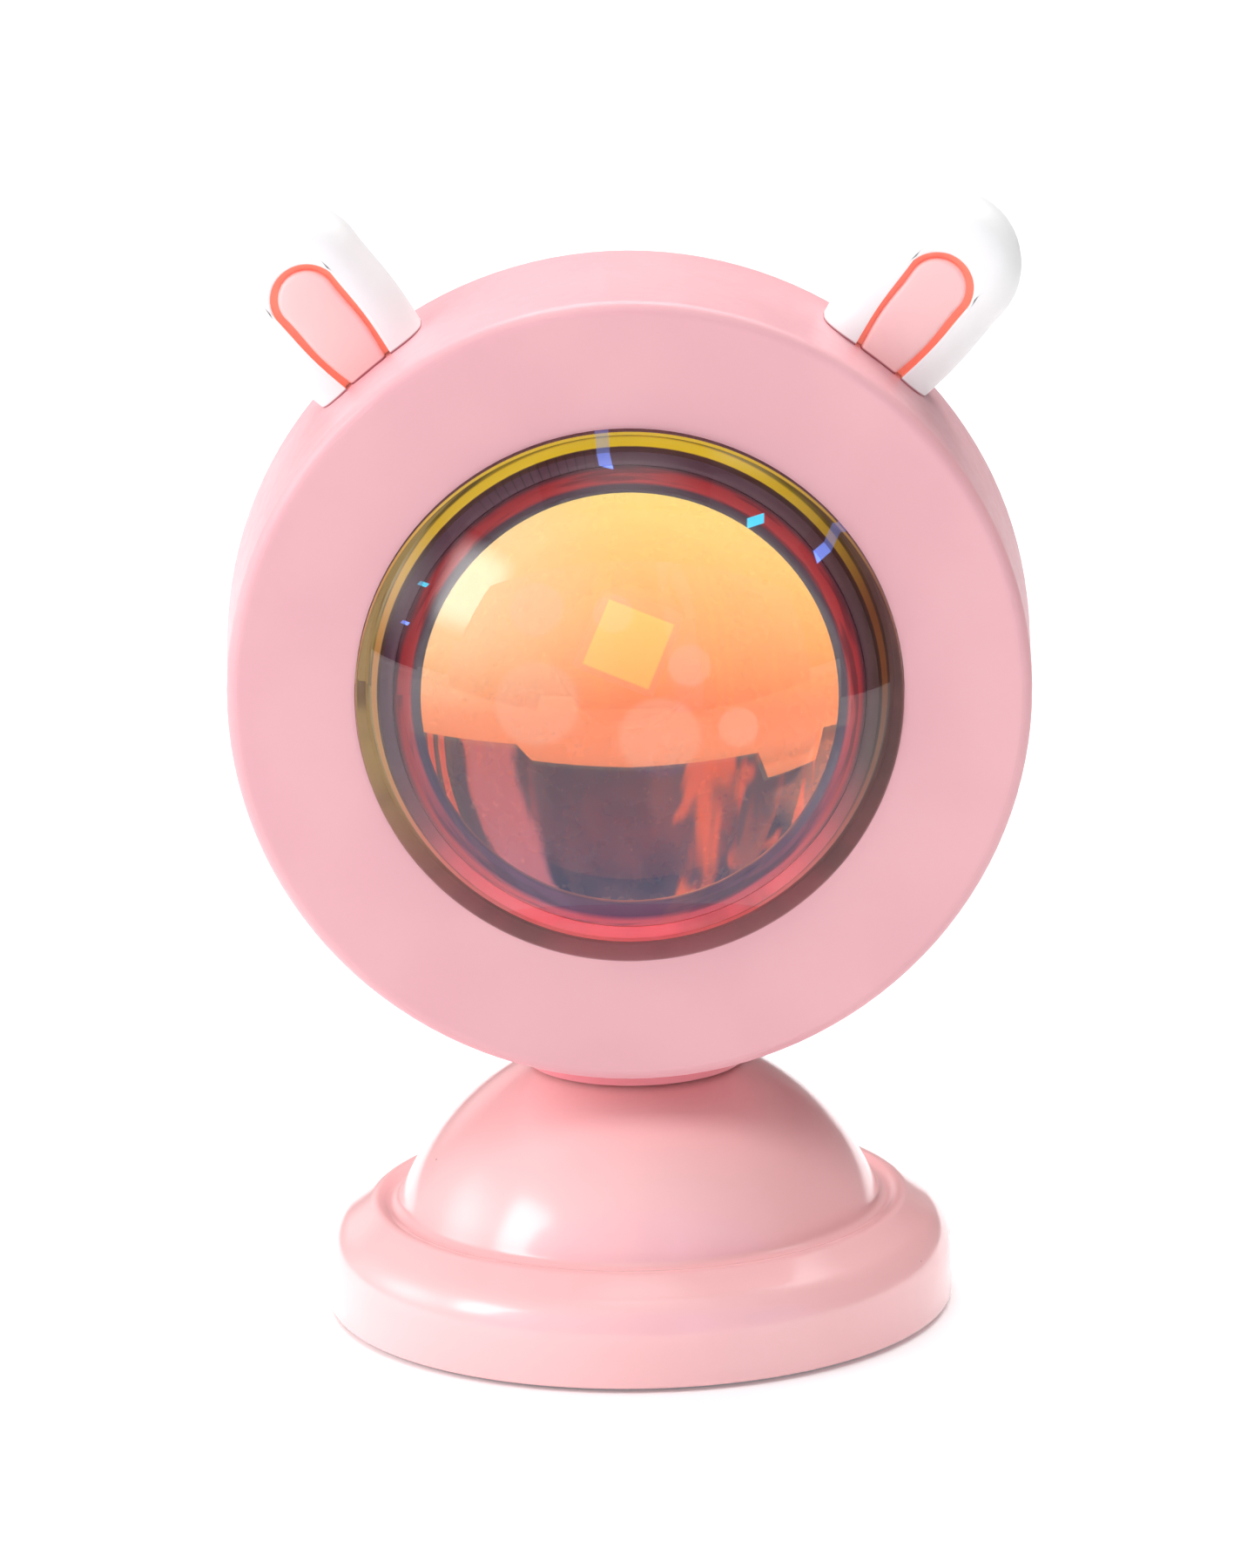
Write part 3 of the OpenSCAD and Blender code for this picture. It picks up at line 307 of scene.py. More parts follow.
# Moulded plastics and rubbers: colour and its shade in display values, and roughness
MOULDED = {
    "drum_pink": ((229, 172, 178), (226, 168, 175), 0.42),
    "foot_pink": ((234, 134, 143), (231, 130, 140), 0.36),
    "black_plastic": ((60, 46, 54), (50, 38, 46), 0.4),
    "white_plastic": ((238, 238, 234), (230, 230, 226), 0.4),
    "gasket_rubber": ((40, 38, 40), (34, 32, 34), 0.65),
    "wire_red": ((200, 40, 36), (185, 34, 32), 0.4),
    "cell_wrap": ((96, 140, 190), (88, 130, 182), 0.3),
}
# Metals: colour in display values, and roughness
METALS = {
    "steel": ((200, 202, 206), 0.3),
    "iron": ((96, 96, 98), 0.55),
    "aluminium": ((205, 207, 210), 0.35),
}


def moulded(name, colour, shade, roughness, painted_seam_shade=None, **sockets):
    """Moulded plastic: fine grain, slow colour drift, uneven gloss and, if given, painted shade at the drum.
    """
    made = Finish(name, **sockets)
    base = made.drifting(14 * MM, colour, shade)
    if painted_seam_shade is not None:
        # painted shade: darker towards the drum's surface, where ear and drum meet
        radius, _ = made.polar()
        base = made.mix(made.span(radius, DRUM_R + SEAM_SHADE_OUT, DRUM_R + SEAM_SHADE_IN), base, srgb(*painted_seam_shade))
    gloss = made.spread(made.noise(1.6 * MM, detail=3.0), roughness - 0.04, roughness + 0.05)
    made.feed(Base_Color=base, Roughness=gloss)
    made.bump(made.noise(0.25 * MM), 0.004 * MM)
    return made.material


def enamel(name, colour, shade):
    """Glossy baked enamel over pressed sheet: faint orange peel, rare dust specks and a clear coat."""
    made = Finish(name, Coat_Weight=1.0, Coat_Roughness=0.13, Coat_IOR=1.5)
    base = made.drifting(18 * MM, colour, shade)
    dust = made.node("ShaderNodeTexVoronoi", {"Vector": made.place(), "Scale": 1 / (7 * MM)})
    speck = made.span(dust.outputs["Distance"], 0.022, 0.012)
    base = made.mix(speck, base, srgb(176, 112, 116))
    made.feed(Base_Color=base, Roughness=made.spread(made.noise(3 * MM), 0.34, 0.38))
    made.bump(made.noise(5 * MM, detail=0.0), 0.0015 * MM)
    return made.material


def metal(name, colour, roughness):
    """Machined or pressed metal with fine drawn lines."""
    made = Finish(name, Metallic=1.0)
    bright = srgb(*colour)
    dull = (*(0.8 * c for c in bright[:3]), 1.0)
    stretched = made.node("ShaderNodeMapping", {"Vector": made.place(), "Scale": (0.08, 1.0, 1.0)})
    lines = made.noise(0.12 * MM, detail=3.0, vector=stretched.outputs["Vector"])
    gloss = made.spread(lines, roughness - 0.06, roughness + 0.1)
    made.feed(Base_Color=made.mix(made.spread(lines), bright, dull), Roughness=gloss)
    made.bump(lines, 0.0018 * MM)
    return made.material


def felted(name, colour, shade):
    """Foam or felt: fibrous, matt and a little uneven."""
    made = Finish(name, Sheen_Weight=0.4, Sheen_Roughness=0.6)
    fibre = made.noise(0.18 * MM, detail=4.0)
    base = made.mix(made.spread(fibre), srgb(*colour), srgb(*shade))
    made.feed(Base_Color=base, Roughness=made.spread(fibre, 0.85, 0.98))
    made.bump(fibre, 0.05 * MM)
    return made.material


def circuit(name):
    """Green solder mask with faint traces."""
    made = Finish(name, Coat_Weight=0.4, Coat_Roughness=0.2)
    colours = {"Color1": srgb(22, 92, 52), "Color2": srgb(26, 104, 60), "Mortar": srgb(60, 140, 80)}
    sizes = {"Scale": 1 / (6 * MM), "Mortar Size": 0.03}
    traces = made.node("ShaderNodeTexBrick", {"Vector": made.place(), **sizes, **colours})
    made.feed(Base_Color=traces.outputs["Color"], Roughness=made.spread(made.noise(1 * MM), 0.35, 0.5))
    made.bump(traces.outputs["Fac"], 0.02 * MM)
    return made.material


def glass(name):
    """Clear moulded lens: smooth, with the faintest flow ripple."""
    made = Finish(name, Base_Color=(1, 1, 1, 1), Transmission_Weight=1.0, IOR=1.49, Roughness=0.0)
    made.bump(made.noise(9 * MM, detail=0.0), 0.002 * MM)
    return made.material


def filter_coat(name):
    """Orange mirror coating on glass: it reflects the studio, has a painted highlight at its upper left, and
    lets some light through.
    """
    made = Finish(name, Metallic=1.0, Roughness=0.02)
    place = made.axes()
    up = made.maths("SUBTRACT", place["Z"], HEAD_Z)
    tint = made.ramp(
        made.span(up, -FILTER_R, FILTER_R, smooth=False),
        [
            (0.0, (0.95, 0.33, 0.2, 1)),
            (0.45, (1.0, 0.21, 0.05, 1)),
            (0.65, (1.0, 0.46, 0.12, 1)),
            (1.0, (1.0, 0.85, 0.24, 1)),
        ],
    )
    # painted highlight: the tint goes paler towards the upper left
    left = made.span(place["X"], 2 * MM, -15 * MM)
    painted_highlight = made.maths("MULTIPLY", left, made.span(up, -6 * MM, 8 * MM))
    tint = made.mix(made.maths("MULTIPLY", painted_highlight, 0.7), tint, (1.0, 0.74, 0.42, 1))
    for x, y, radius in FILM_SPOTS:
        share = made.maths("MULTIPLY", made.spot(x * MM, y * MM, radius * MM, soft=0.1), FILM_SPOT_SHARE)
        tint = made.mix(share, tint, (1.0, 0.58, 0.42, 1))
    made.feed(Base_Color=tint)
    # Only the front face is coated: the glass behind it lets all light through
    front = made.span(place["Y"], filter_low.y + 0.2 * MM, filter_low.y + 0.1 * MM)
    clear = made.maths("SUBTRACT", 1.0, made.maths("MULTIPLY", front, 1 - FILM_CLEAR))
    through = made.node("ShaderNodeBsdfTransparent", {"Color": (1.0, 0.8, 0.5, 1)}).outputs["BSDF"]
    both = made.node("ShaderNodeMixShader", {0: clear, 1: made.shader.outputs["BSDF"], 2: through})
    made.set(made.tree.nodes["Material Output"], "Surface", both.outputs["Shader"])
    return made.material


def add_glints(made, base):
    """Lays small glints over a finish: its new colour, and their light alone. Every second one is cyan."""
    light = (0, 0, 0, 1)
    for index, (x, y, turn, length, width) in enumerate(GLINTS):
        share = made.dash(x * MM, y * MM, math.radians(turn), length * MM, width * MM)
        colour = srgb(130, 160, 255) if index % 2 == 0 else srgb(70, 190, 215)
        base = made.mix(share, base, colour)
        light = made.mix(share, light, colour)
    return base, light


def ring_painted_reflections(name):
    """Painted reflections with glow round the filter: red, dark at its inner edge, plum between coral edges
    at the bottom.
    """
    # all its bands and streaks are painted reflection, and the emission is painted glow
    made = Finish(name, Roughness=0.3, Emission_Strength=0.8)
    radius, angle = made.polar()
    outward = made.span(radius, RING_IN_R, RING_R, smooth=False)
    upper = made.ramp(
        outward,
        [
            (0.0, srgb(66, 40, 48)),
            (0.3, srgb(84, 56, 66)),
            (0.4, srgb(206, 70, 66)),
            (0.8, srgb(184, 52, 52)),
            (0.95, srgb(96, 44, 50)),
        ],
    )
    lower = made.ramp(
        outward,
        [
            (0.0, srgb(246, 140, 92)),
            (0.1, srgb(112, 62, 76)),
            (0.6, srgb(100, 58, 76)),
            (0.8, srgb(236, 92, 94)),
        ],
    )
    paint = made.mix(made.near_angle(angle, -90, 80), upper, lower)
    paint = made.mix(made.maths("MULTIPLY", made.streaks(angle, radius), 0.6), paint, srgb(62, 34, 42))
    base, light = add_glints(made, paint)
    made.feed(Base_Color=base, Emission_Color=light)
    made.bump(made.noise(0.6 * MM), 0.004 * MM)
    return made.material


def holder_painted_reflections(name):
    """Holder behind the lens: plum tube wall with fine ribs, and a groove in painted reflections that glow
    gold, olive or brown.
    """
    made = Finish(name, Roughness=0.4, Emission_Strength=0.55)
    _, angle = made.polar()
    y = made.axes()["Y"]
    depth = made.maths("SUBTRACT", y, RING_FRONT_Y)
    top = made.near_angle(angle, 95, 80)
    bottom = made.near_angle(angle, -90, 75)
    left = made.near_angle(angle, 175, 75)
    right = made.near_angle(angle, 0, 75)

    ribs = made.span(made.maths("SINE", made.maths("MULTIPLY", angle, TUBE_RIBS)), 0.75, 0.98)
    ribs = made.maths("MULTIPLY", ribs, made.near_angle(angle, 112, 22))
    # painted reflections: the tube wall darker at the right and coral at the bottom
    wall = made.mix(right, srgb(78, 50, 58), srgb(66, 38, 38))
    wall = made.mix(bottom, wall, srgb(232, 80, 86))
    wall = made.mix(made.maths("MULTIPLY", made.streaks(angle, y), 0.5), wall, srgb(60, 36, 40))
    wall = made.mix(made.maths("MULTIPLY", ribs, 0.7), wall, srgb(44, 30, 36))

    # painted reflections of the filter in the groove: gold at the top, olive at the left, brown at the right
    band = made.mix(left, srgb(134, 78, 48), srgb(206, 150, 92))
    band = made.mix(top, band, srgb(250, 214, 60))
    band = made.mix(bottom, band, srgb(236, 88, 92))
    outer = made.mix(left, srgb(80, 48, 44), srgb(168, 146, 92))
    outer = made.mix(top, outer, srgb(150, 130, 40))
    outer = made.mix(bottom, outer, srgb(128, 58, 62))
    outer = made.mix(made.maths("MULTIPLY", made.streaks(angle, depth), 0.6), outer, srgb(56, 38, 34))

    groove = made.mix(made.span(depth, GROOVE_OUTER_FROM, GROOVE_OUTER_FROM + 0.3 * MM), band, outer)
    colour = made.mix(made.span(depth, GROOVE_FROM, GROOVE_FROM + 0.2 * MM), wall, groove)
    base, light = add_glints(made, colour)
    # the emission is painted glow: the groove is no lamp
    made.feed(Base_Color=base, Emission_Color=made.mix(0.85, light, colour))
    made.bump(made.noise(0.5 * MM), 0.006 * MM)
    return made.material


def light_square(name):
    """Phosphor square of the light source with its pink rim."""
    made = Finish(name, Emission_Strength=1.15)
    sides = made.turned(*made.on_front(), -LED_TURN)
    reach = made.maths("MAXIMUM", *(made.maths("ABSOLUTE", side) for side in sides))
    rim_from = LED_SIDE / 2 - LED_RIM
    rim = made.span(reach, rim_from, rim_from + 0.1 * MM)
    colour = made.mix(rim, srgb(255, 226, 120), srgb(255, 92, 150))
    made.feed(Base_Color=colour, Emission_Color=colour)
    made.feed(Roughness=made.spread(made.noise(0.3 * MM), 0.4, 0.6))
    return made.material


def make_materials():
    """Every material slot of the record, by name, and the groove round the ears' pads with its painted bounce
    light.
    """
    made = {name: moulded(name, *values) for name, values in MOULDED.items()}
    made.update({name: metal(name, *values) for name, values in METALS.items()})
    made["silver_plastic"] = moulded("silver_plastic", (222, 222, 224), (210, 210, 214), 0.25, Metallic=0.7)
    made["ear_white"] = moulded("ear_white", (247, 246, 246), (244, 243, 243), 0.4, painted_seam_shade=(170, 96, 104))
    made["ear_rose"] = moulded("ear_rose", (251, 200, 200), (252, 193, 190), 0.45, painted_seam_shade=(160, 76, 84))
    # the groove's coral colour and its glow are painted bounce light from the pink walls
    made["ear_groove_painted_glow"] = moulded(
        "ear_groove_painted_glow",
        (244, 158, 138),
        (246, 164, 138),
        0.5,
        painted_seam_shade=(120, 50, 56),
        Emission_Color=srgb(244, 140, 116),
        Emission_Strength=0.3,
    )
    made["base_enamel"] = enamel("base_enamel", (252, 195, 196), (251, 192, 193))
    made["pad_foam"] = felted("pad_foam", (132, 140, 166), (112, 120, 148))
    made["felt"] = felted("felt", (70, 66, 70), (54, 50, 54))
    made["lens_glass"] = glass("lens_glass")
    made["filter_glass"] = filter_coat("filter_glass")
    made["ring_red"] = ring_painted_reflections("ring_red")
    made["circuit_board"] = circuit("circuit_board")
    made["light_source"] = light_square("light_source")
    return made


def dress_cad_nodes(materials):
    """Gives each CAD node the finish of its slot in the record, and the holder its own painted reflections.
    """
    for row in frame["record"]["subparts"]:
        mesh = nodes[row["node"]].data
        mesh.materials.clear()
        mesh.materials.append(materials[row["material_slot"]])
    nodes["lens_holder"].data.materials[0] = holder_painted_reflections("holder_painted_glow")


# ---------- Mesh helpers ----------


def add_object(name, bm, materials, sharp_degrees=35):
    """A smooth-shaded object from a bmesh, with creases kept above an angle."""
    bmesh.ops.remove_doubles(bm, verts=bm.verts, dist=1e-7)
    bmesh.ops.recalc_face_normals(bm, faces=bm.faces)
    for face in bm.faces:
        face.smooth = True
    limit = math.radians(sharp_degrees)
    for edge in bm.edges:
        edge.smooth = len(edge.link_faces) == 2 and edge.calc_face_angle(0) < limit
    mesh = bpy.data.meshes.new(name)
    bm.to_mesh(mesh)
    bm.free()
    for material in materials:
        mesh.materials.append(material)
    made = bpy.data.objects.new(name, mesh)
    bpy.context.scene.collection.objects.link(made)
    return made


def arc(centre, radius, start, end, steps):
    """Points on an arc in the plane of an outline, angles in degrees."""
    points = []
    for i in range(steps + 1):
        angle = math.radians(start + (end - start) * i / steps)
        points.append((centre[0] + radius * math.cos(angle), centre[1] + radius * math.sin(angle)))
    return points


def arc_to_axis(centre_height, radius, start, steps):
    """An arc about a point on the axis, from an angle in degrees up to the axis itself."""
    return arc((0, centre_height), radius, start, 90, steps)[:-1] + [(0, centre_height + radius)]


def quarter_turn(steps):
    """Sine and cosine at each step from 0 to 90 degrees."""
    angles = [math.pi / 2 * i / steps for i in range(steps + 1)]
    return [(math.sin(angle), math.cos(angle)) for angle in angles]


def bridge(bm, lower, upper, material=0):
    """Faces between two closed rings of points; one of them may be a single point."""
    count = max(len(lower), len(upper))
    for i in range(count):
        j = (i + 1) % count
        corners = []
        for ring, place in ((lower, i), (lower, j), (upper, j), (upper, i)):
            vert = ring[place % len(ring)]
            if vert not in corners:
                corners.append(vert)
        face = bm.faces.new(corners)
        face.material_index = material


def lathe(bm, outline, place, steps=256):
    """Turns an outline of (radius, height) points about an axis; place maps (x, y, height) to the frame."""
    rings = []
    for radius, height in outline:
        if radius < 1e-9:
            rings.append([bm.verts.new(place(0, 0, height))])
            continue
        ring = []
        for i in range(steps):
            angle = 2 * math.pi * i / steps
            ring.append(bm.verts.new(place(radius * math.cos(angle), radius * math.sin(angle), height)))
        rings.append(ring)
    for lower, upper in zip(rings, rings[1:]):
        bridge(bm, lower, upper)


def in_head(x, y, height):
    """A point in the head: x right, y up and height towards the front, from the frame's Y zero."""
    return Vector((x, -height, HEAD_Z + y))


def upright(x, y, height):
    """A point on a form that is turned about the base's axis."""
    return Vector((x, y, height))


# ---------- Lens ----------


def make_lens(materials):
    """Plano-convex lens with a finely divided cap, so that it refracts smoothly."""
    back = -LENS_BACK_Y
    flange = back + LENS_FLANGE_T
    flange_r = (lens_high.x - lens_low.x) / 2
    ball_centre = LENS_SAG - LENS_EDGE_Y - LENS_BALL_R
    reach = math.degrees(math.asin(LENS_R / LENS_BALL_R))
    outline = [(0, back), (LENS_R * 0.6, back), (flange_r, back), (flange_r, flange), (LENS_R, flange)]
    outline += arc_to_axis(ball_centre, LENS_BALL_R, 90 - reach, 64)
    bm = bmesh.new()
    lathe(bm, outline, in_head)
    made = add_object("lens_dome", bm, [materials["lens_glass"]], sharp_degrees=40)
    made.visible_shadow = False
    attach(made, "head")
    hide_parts("lens")


# ---------- Base ----------


def bearing(start, end):
    """Direction from one point to another, in degrees."""
    return math.degrees(math.atan2(end.y - start.y, end.x - start.x))


def meeting_point(first, first_reach, second, second_reach):
    """The point at two distances from two points, to the left of the way from first to second."""
    way = second - first
    along = (first_reach**2 - second_reach**2 + way.length_squared) / (2 * way.length)
    aside = math.sqrt(first_reach**2 - along**2)
    unit = way.normalized()
    return first + unit * along + Vector((-unit.y, unit.x)) * aside


def base_outlines():
    """Outline of the shell's outer face from its lower edge to the axis, and of its inner face back again."""
    wall_r, low = base_high.x, base_low.z
    lower_edge = (wall_r - SHEET_T, low)
    normal = math.radians(90 - SLOPE_ANGLE)
    normal_x, normal_z = math.cos(normal), math.sin(normal)
    crest = Vector((CREST_R, (SLOPE_OFFSET - CREST_FILLET - CREST_R * normal_x) / normal_z))
    shoulder_x = wall_r - SHOULDER_FILLET
    shoulder_z = (SLOPE_OFFSET - SHOULDER_FILLET - shoulder_x * normal_x) / normal_z
    ball = Vector((0, base_high.z - DOME_R))
    moat = meeting_point(ball, DOME_R + MOAT_FILLET, crest, CREST_FILLET + MOAT_FILLET)
    crest_end, dome_start = bearing(crest, moat), bearing(ball, moat)
    outer = [lower_edge]
    outer += arc((wall_r - EDGE_ROUND, low + EDGE_ROUND), EDGE_ROUND, -90, 0, 4)
    outer += arc((shoulder_x, shoulder_z), SHOULDER_FILLET, 0, 90 - SLOPE_ANGLE, 16)
    outer += arc(crest, CREST_FILLET, 90 - SLOPE_ANGLE, crest_end, 12)
    outer += arc(moat, MOAT_FILLET, crest_end - 180, dome_start - 180, 12)[1:]
    outer += arc_to_axis(ball.y, DOME_R, dome_start, 72)[1:]
    inner_r = DOME_R - SHEET_T
    crest_under = crest.y - SHEET_T
    inner_start = math.degrees(math.asin((crest_under - ball.y) / inner_r))
    inner = arc_to_axis(ball.y, inner_r, inner_start, 24)[::-1]
    inner += [(CREST_R, crest_under), (wall_r - SHEET_T, shoulder_z - SHEET_T), lower_edge]
    return outer, inner


def make_base(materials):
    """Pressed shell in one soft sweep: wall, rounded shoulder, slope, crest, shallow moat and dome."""
    bm = bmesh.new()
    for outline in base_outlines():
        lathe(bm, outline, upright)
    post = [(POST_BORE_R, POST_LOW), (POST_R, POST_LOW), (POST_R, POST_TOP), (POST_BORE_R, POST_TOP)]
    for degrees in POST_ANGLES:
        angle = math.radians(degrees)
        spot = Vector((POST_RING_R * math.cos(angle), POST_RING_R * math.sin(angle), 0))
        lathe(bm, [*post, post[0]], lambda x, y, height, spot=spot: spot + Vector((x, y, height)), steps=32)
    made = add_object("base_form", bm, [materials["base_enamel"]], sharp_degrees=40)
    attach(made, "base")
    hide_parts("base_shell")


# ---------- Ear forms ----------


def bowed_side(start, end, bow, steps=24):
    """Points between two ends of a capsule's side, bowed out along x by up to bow."""
    points = []
    for i in range(1, steps):
        share = i / steps
        x, y = (a + (b - a) * share for a, b in zip(start, end))
        points.append((x + bow * math.sin(math.pi * share) ** 2, y))
    return points


def capsule(tip_r, root_r, tip_y, root_y, inset, bow, per_end=28):
    """Outline round two circles on the y axis, inset from the full size, with sides bowed out a little."""
    tilt = math.degrees(math.asin((tip_r - root_r) / (tip_y - root_y)))
    tip = arc((0, tip_y), tip_r - inset, -tilt, 180 + tilt, per_end)
    root = arc((0, root_y), root_r - inset, 180 + tilt, 360 - tilt, per_end)
    return [*tip, *bowed_side(tip[-1], root[0], -bow), *root, *bowed_side(root[-1], tip[0], bow)]


def ear_outline(inset):
    return capsule(EAR_TIP_R, EAR_ROOT_R, EAR_LEN - EAR_TIP_R, EAR_ROOT_Y, inset, EAR_BOW)


def pocket_outline(inset):
    tip_r, root_r = PAD_TIP_R + GROOVE_W, PAD_ROOT_R + GROOVE_W
    return capsule(tip_r, root_r, PAD_LEN - PAD_TIP_R, PAD_ROOT_Y, inset, PAD_BOW)


def pad_outline(inset):
    return capsule(PAD_TIP_R, PAD_ROOT_R, PAD_LEN - PAD_TIP_R, PAD_ROOT_Y, inset + PAD_SLACK, PAD_BOW)


def ear_place(side):
    """Maps ear coordinates (x across, y outward from the drum, z to the front) to the frame."""
    turn = Matrix.Rotation(-side * EAR_ANGLE, 3, "Z")

    def place(x, y, z):
        flat = turn @ Vector((x, DRUM_R + y, 0))
        return Vector((flat.x, EAR_MID_Y - z, HEAD_Z + flat.y))

    return place


def settle(points, sink):
    """Moves points that reach into the drum out to its surface, less sink."""
    limit = DRUM_R - sink
    for point in points:
        reach = math.hypot(point.x, point.z - HEAD_Z)
        if reach < limit:
            point.x *= limit / reach
            point.z = HEAD_Z + (point.z - HEAD_Z) * limit / reach


def loft(name, loops, side, materials, second_from, sink):
    """Joins closed loops [(outline, z)] and caps both ends.

    Strips between loops take the first material, and from second_from on the second.
    """
    place = ear_place(side)
    bm = bmesh.new()
    rings = []
    for outline, z in loops:
        spots = [place(x, y, z) for x, y in outline]
        settle(spots, sink)
        rings.append([bm.verts.new(spot) for spot in spots])
    strips = list(zip(rings, rings[1:]))
    for index, (lower, upper) in enumerate(strips):
        bridge(bm, lower, upper, int(index >= second_from))
    bm.faces.new(list(reversed(rings[0])))
    last = bm.faces.new(rings[-1])
    last.material_index = int(len(strips) - 1 >= second_from)
    return add_object(name, bm, materials, sharp_degrees=50)


def make_ear(side, name, cad_name, materials):
    """Soft white ear with a rounded rim and a pocket for its inner pad."""
    face = EAR_T / 2
    turn = quarter_turn(10)
    loops = [(ear_outline(EAR_ROUND * (1 - s)), -face + EAR_ROUND - EAR_ROUND * c) for s, c in turn]
    loops += [(ear_outline(EAR_ROUND * (1 - c)), face - EAR_ROUND + EAR_ROUND * s) for s, c in turn]
    turn = quarter_turn(4)
    loops += [(pocket_outline(-POCKET_LIP * (1 - s)), face - POCKET_LIP * (1 - c)) for s, c in turn]
    groove_from = len(loops) - 2  # the lip's last strip is in the groove's colour too
    loops.append((pocket_outline(0), face - POCKET_DEPTH))
    loops.append((pocket_outline(GROOVE_W * 2), face - POCKET_DEPTH))
    finishes = [materials["ear_white"], materials["ear_groove_painted_glow"]]
    made = loft(name, loops, side, finishes, groove_from, EAR_SINK)
    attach(made, "head")
    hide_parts(cad_name)


def make_ear_pad(side, name, cad_name, materials):
    """Pillowed pink pad in the ear's pocket."""
    top = EAR_T / 2 + PAD_PROUD
    shoulder = top - PAD_EDGE
    loops = [(pad_outline(0), EAR_T / 2 - POCKET_DEPTH + PAD_LIFT)]
    loops += [(pad_outline(PAD_EDGE * (1 - c)), shoulder + PAD_EDGE * s) for s, c in quarter_turn(6)]
    crown_w = (PAD_ROOT_R - PAD_SLACK - PAD_EDGE) * 0.95
    crown_steps = 5
    for i in range(1, crown_steps + 1):
        share = i / crown_steps
        height = top + PAD_CROWN * math.sin(math.pi / 2 * share)
        loops.append((pad_outline(PAD_EDGE + crown_w * share), height))
    made = loft(name, loops, side, [materials["ear_rose"]], len(loops), PAD_SINK)
    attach(made, "head")
    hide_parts(cad_name)


# ---------- Stage, in metres ----------

CARD_AHEAD = 0.5
CARD_W = 2.0
CARD_H = 0.55
CARD_SHIFT = 0.025  # how far the folds move the panels, on average
WORLD_FILL = 0.23
WORLD_SEEN = 1.05
FLOOR_HALF = 6
FLOOR_GLOW = 0.13
FLAG_X = 0.35
FLAG_FRONT_Y, FLAG_BACK_Y = -0.1, 0.8
FLAG_LOW_Z, FLAG_HIGH_Z = 0.002, 0.3
LIGHT_AIM = (0, 0, 0.05)
# Name, place, width, height, power in watts and how softly its panel's edge fades (None: no panel)
LIGHTS = (
    ("key_left", (-0.8, -0.4, 0.5), 0.54, 0.56, 4.1, 0.6),
    ("top_back", (0, 0.6, 1.2), 1.4, 0.7, 13.0, 0.6),
    ("top_front", (0.05, -0.7, 1.1), 1.2, 0.5, 5.7, None),
    ("top_glow", (0, -0.3, 1.3), 1.2, 0.6, 2.2, 1.0),
    ("right_high", (0.6, 0.25, 1.1), 0.7, 0.6, 1.9, 0.8),
    ("left_panel", (-1.4, 0.2, 0.5), 1.2, 1.0, 5.6, 1.0),
    ("back_panel", (-0.6, 1.6, 0.45), 1.5, 0.8, 1.7, 0.8),
)
# Paler upright panels on the card: place across, half width and colour
CARD_PANELS = (
    (0.17, 0.055, (0.7, 0.62, 1.4, 1)),
    (0.29, 0.012, (0.95, 0.54, 0.7, 1)),
    (0.34, 0.008, (0.95, 0.54, 0.7, 1)),
    (-0.17, 0.03, (0.4, 0.4, 0.8, 1)),
    (-0.09, 0.028, (1.0, 0.52, 0.6, 1)),
)
# Lower edge of the card, place across and height: it keeps the horizon in the filter uneven
CARD_FOOT = ((-0.3, 0), (-0.28, 0.05), (-0.17, 0.055), (-0.15, 0.018), (0, 0.022), (0.11, 0.018), (0.13, 0))


def point_at(made, spot, aim):
    """Puts a light or panel at a spot, facing aim."""
    made.location = spot
    made.rotation_mode = "QUATERNION"
    made.rotation_quaternion = (Vector(aim) - Vector(spot)).to_track_quat("-Z", "Y")


def only_in_reflections(made):
    """Keeps a stage piece out of the camera's view and out of the plain light."""
    made.visible_camera = False
    made.visible_diffuse = False
    made.visible_shadow = False


def make_floor():
    """Pale seamless floor that glows faintly, and more far from the lamp."""
    made = Finish("floor_paper", Emission_Color=(1, 1, 1, 1), Roughness=0.9)
    place = made.axes()
    away = made.maths("ADD", *(made.maths("MULTIPLY", place[axis], place[axis]) for axis in "XY"))
    paper = made.mix(made.noise(60 * MM), srgb(250, 250, 250), srgb(247, 247, 248))
    made.feed(Base_Color=paper, Emission_Strength=made.span(away, 0.5, 2.5, FLOOR_GLOW, 0.9))
    bm = bmesh.new()
    bmesh.ops.create_grid(bm, x_segments=8, y_segments=8, size=FLOOR_HALF)
    floor = add_object("floor", bm, [made.material])


def card_colour(made):
    """Blue folds with paler patches and upright panels."""
    place = made.axes()
    drape = made.node("ShaderNodeCombineXYZ", {0: place["X"], 1: made.maths("MULTIPLY", place["Z"], 0.3)})
    vector = drape.outputs["Vector"]
    folds = made.noise(1 / 14, detail=4.0, vector=vector, distortion=0.4)
    patches = made.noise(1 / 9, detail=3.0, vector=vector, distortion=1.0)
    warped = made.maths("ADD", place["X"], made.maths("MULTIPLY", folds, 2 * CARD_SHIFT))
    colour = made.mix(made.span(folds, 0.42, 0.58), (0.03, 0.16, 0.65, 1), (0.1, 0.24, 0.75, 1))
    colour = made.mix(made.span(patches, 0.58, 0.64), colour, (0.9, 0.5, 0.7, 1))
    for centre, half_width, panel in CARD_PANELS:
        away = made.maths("ABSOLUTE", made.maths("SUBTRACT", warped, centre + CARD_SHIFT))
        share = made.span(away, half_width * 1.15, half_width * 0.85)
        colour = made.mix(made.maths("MULTIPLY", share, made.span(folds, 0.64, 0.48)), colour, panel)
    return colour


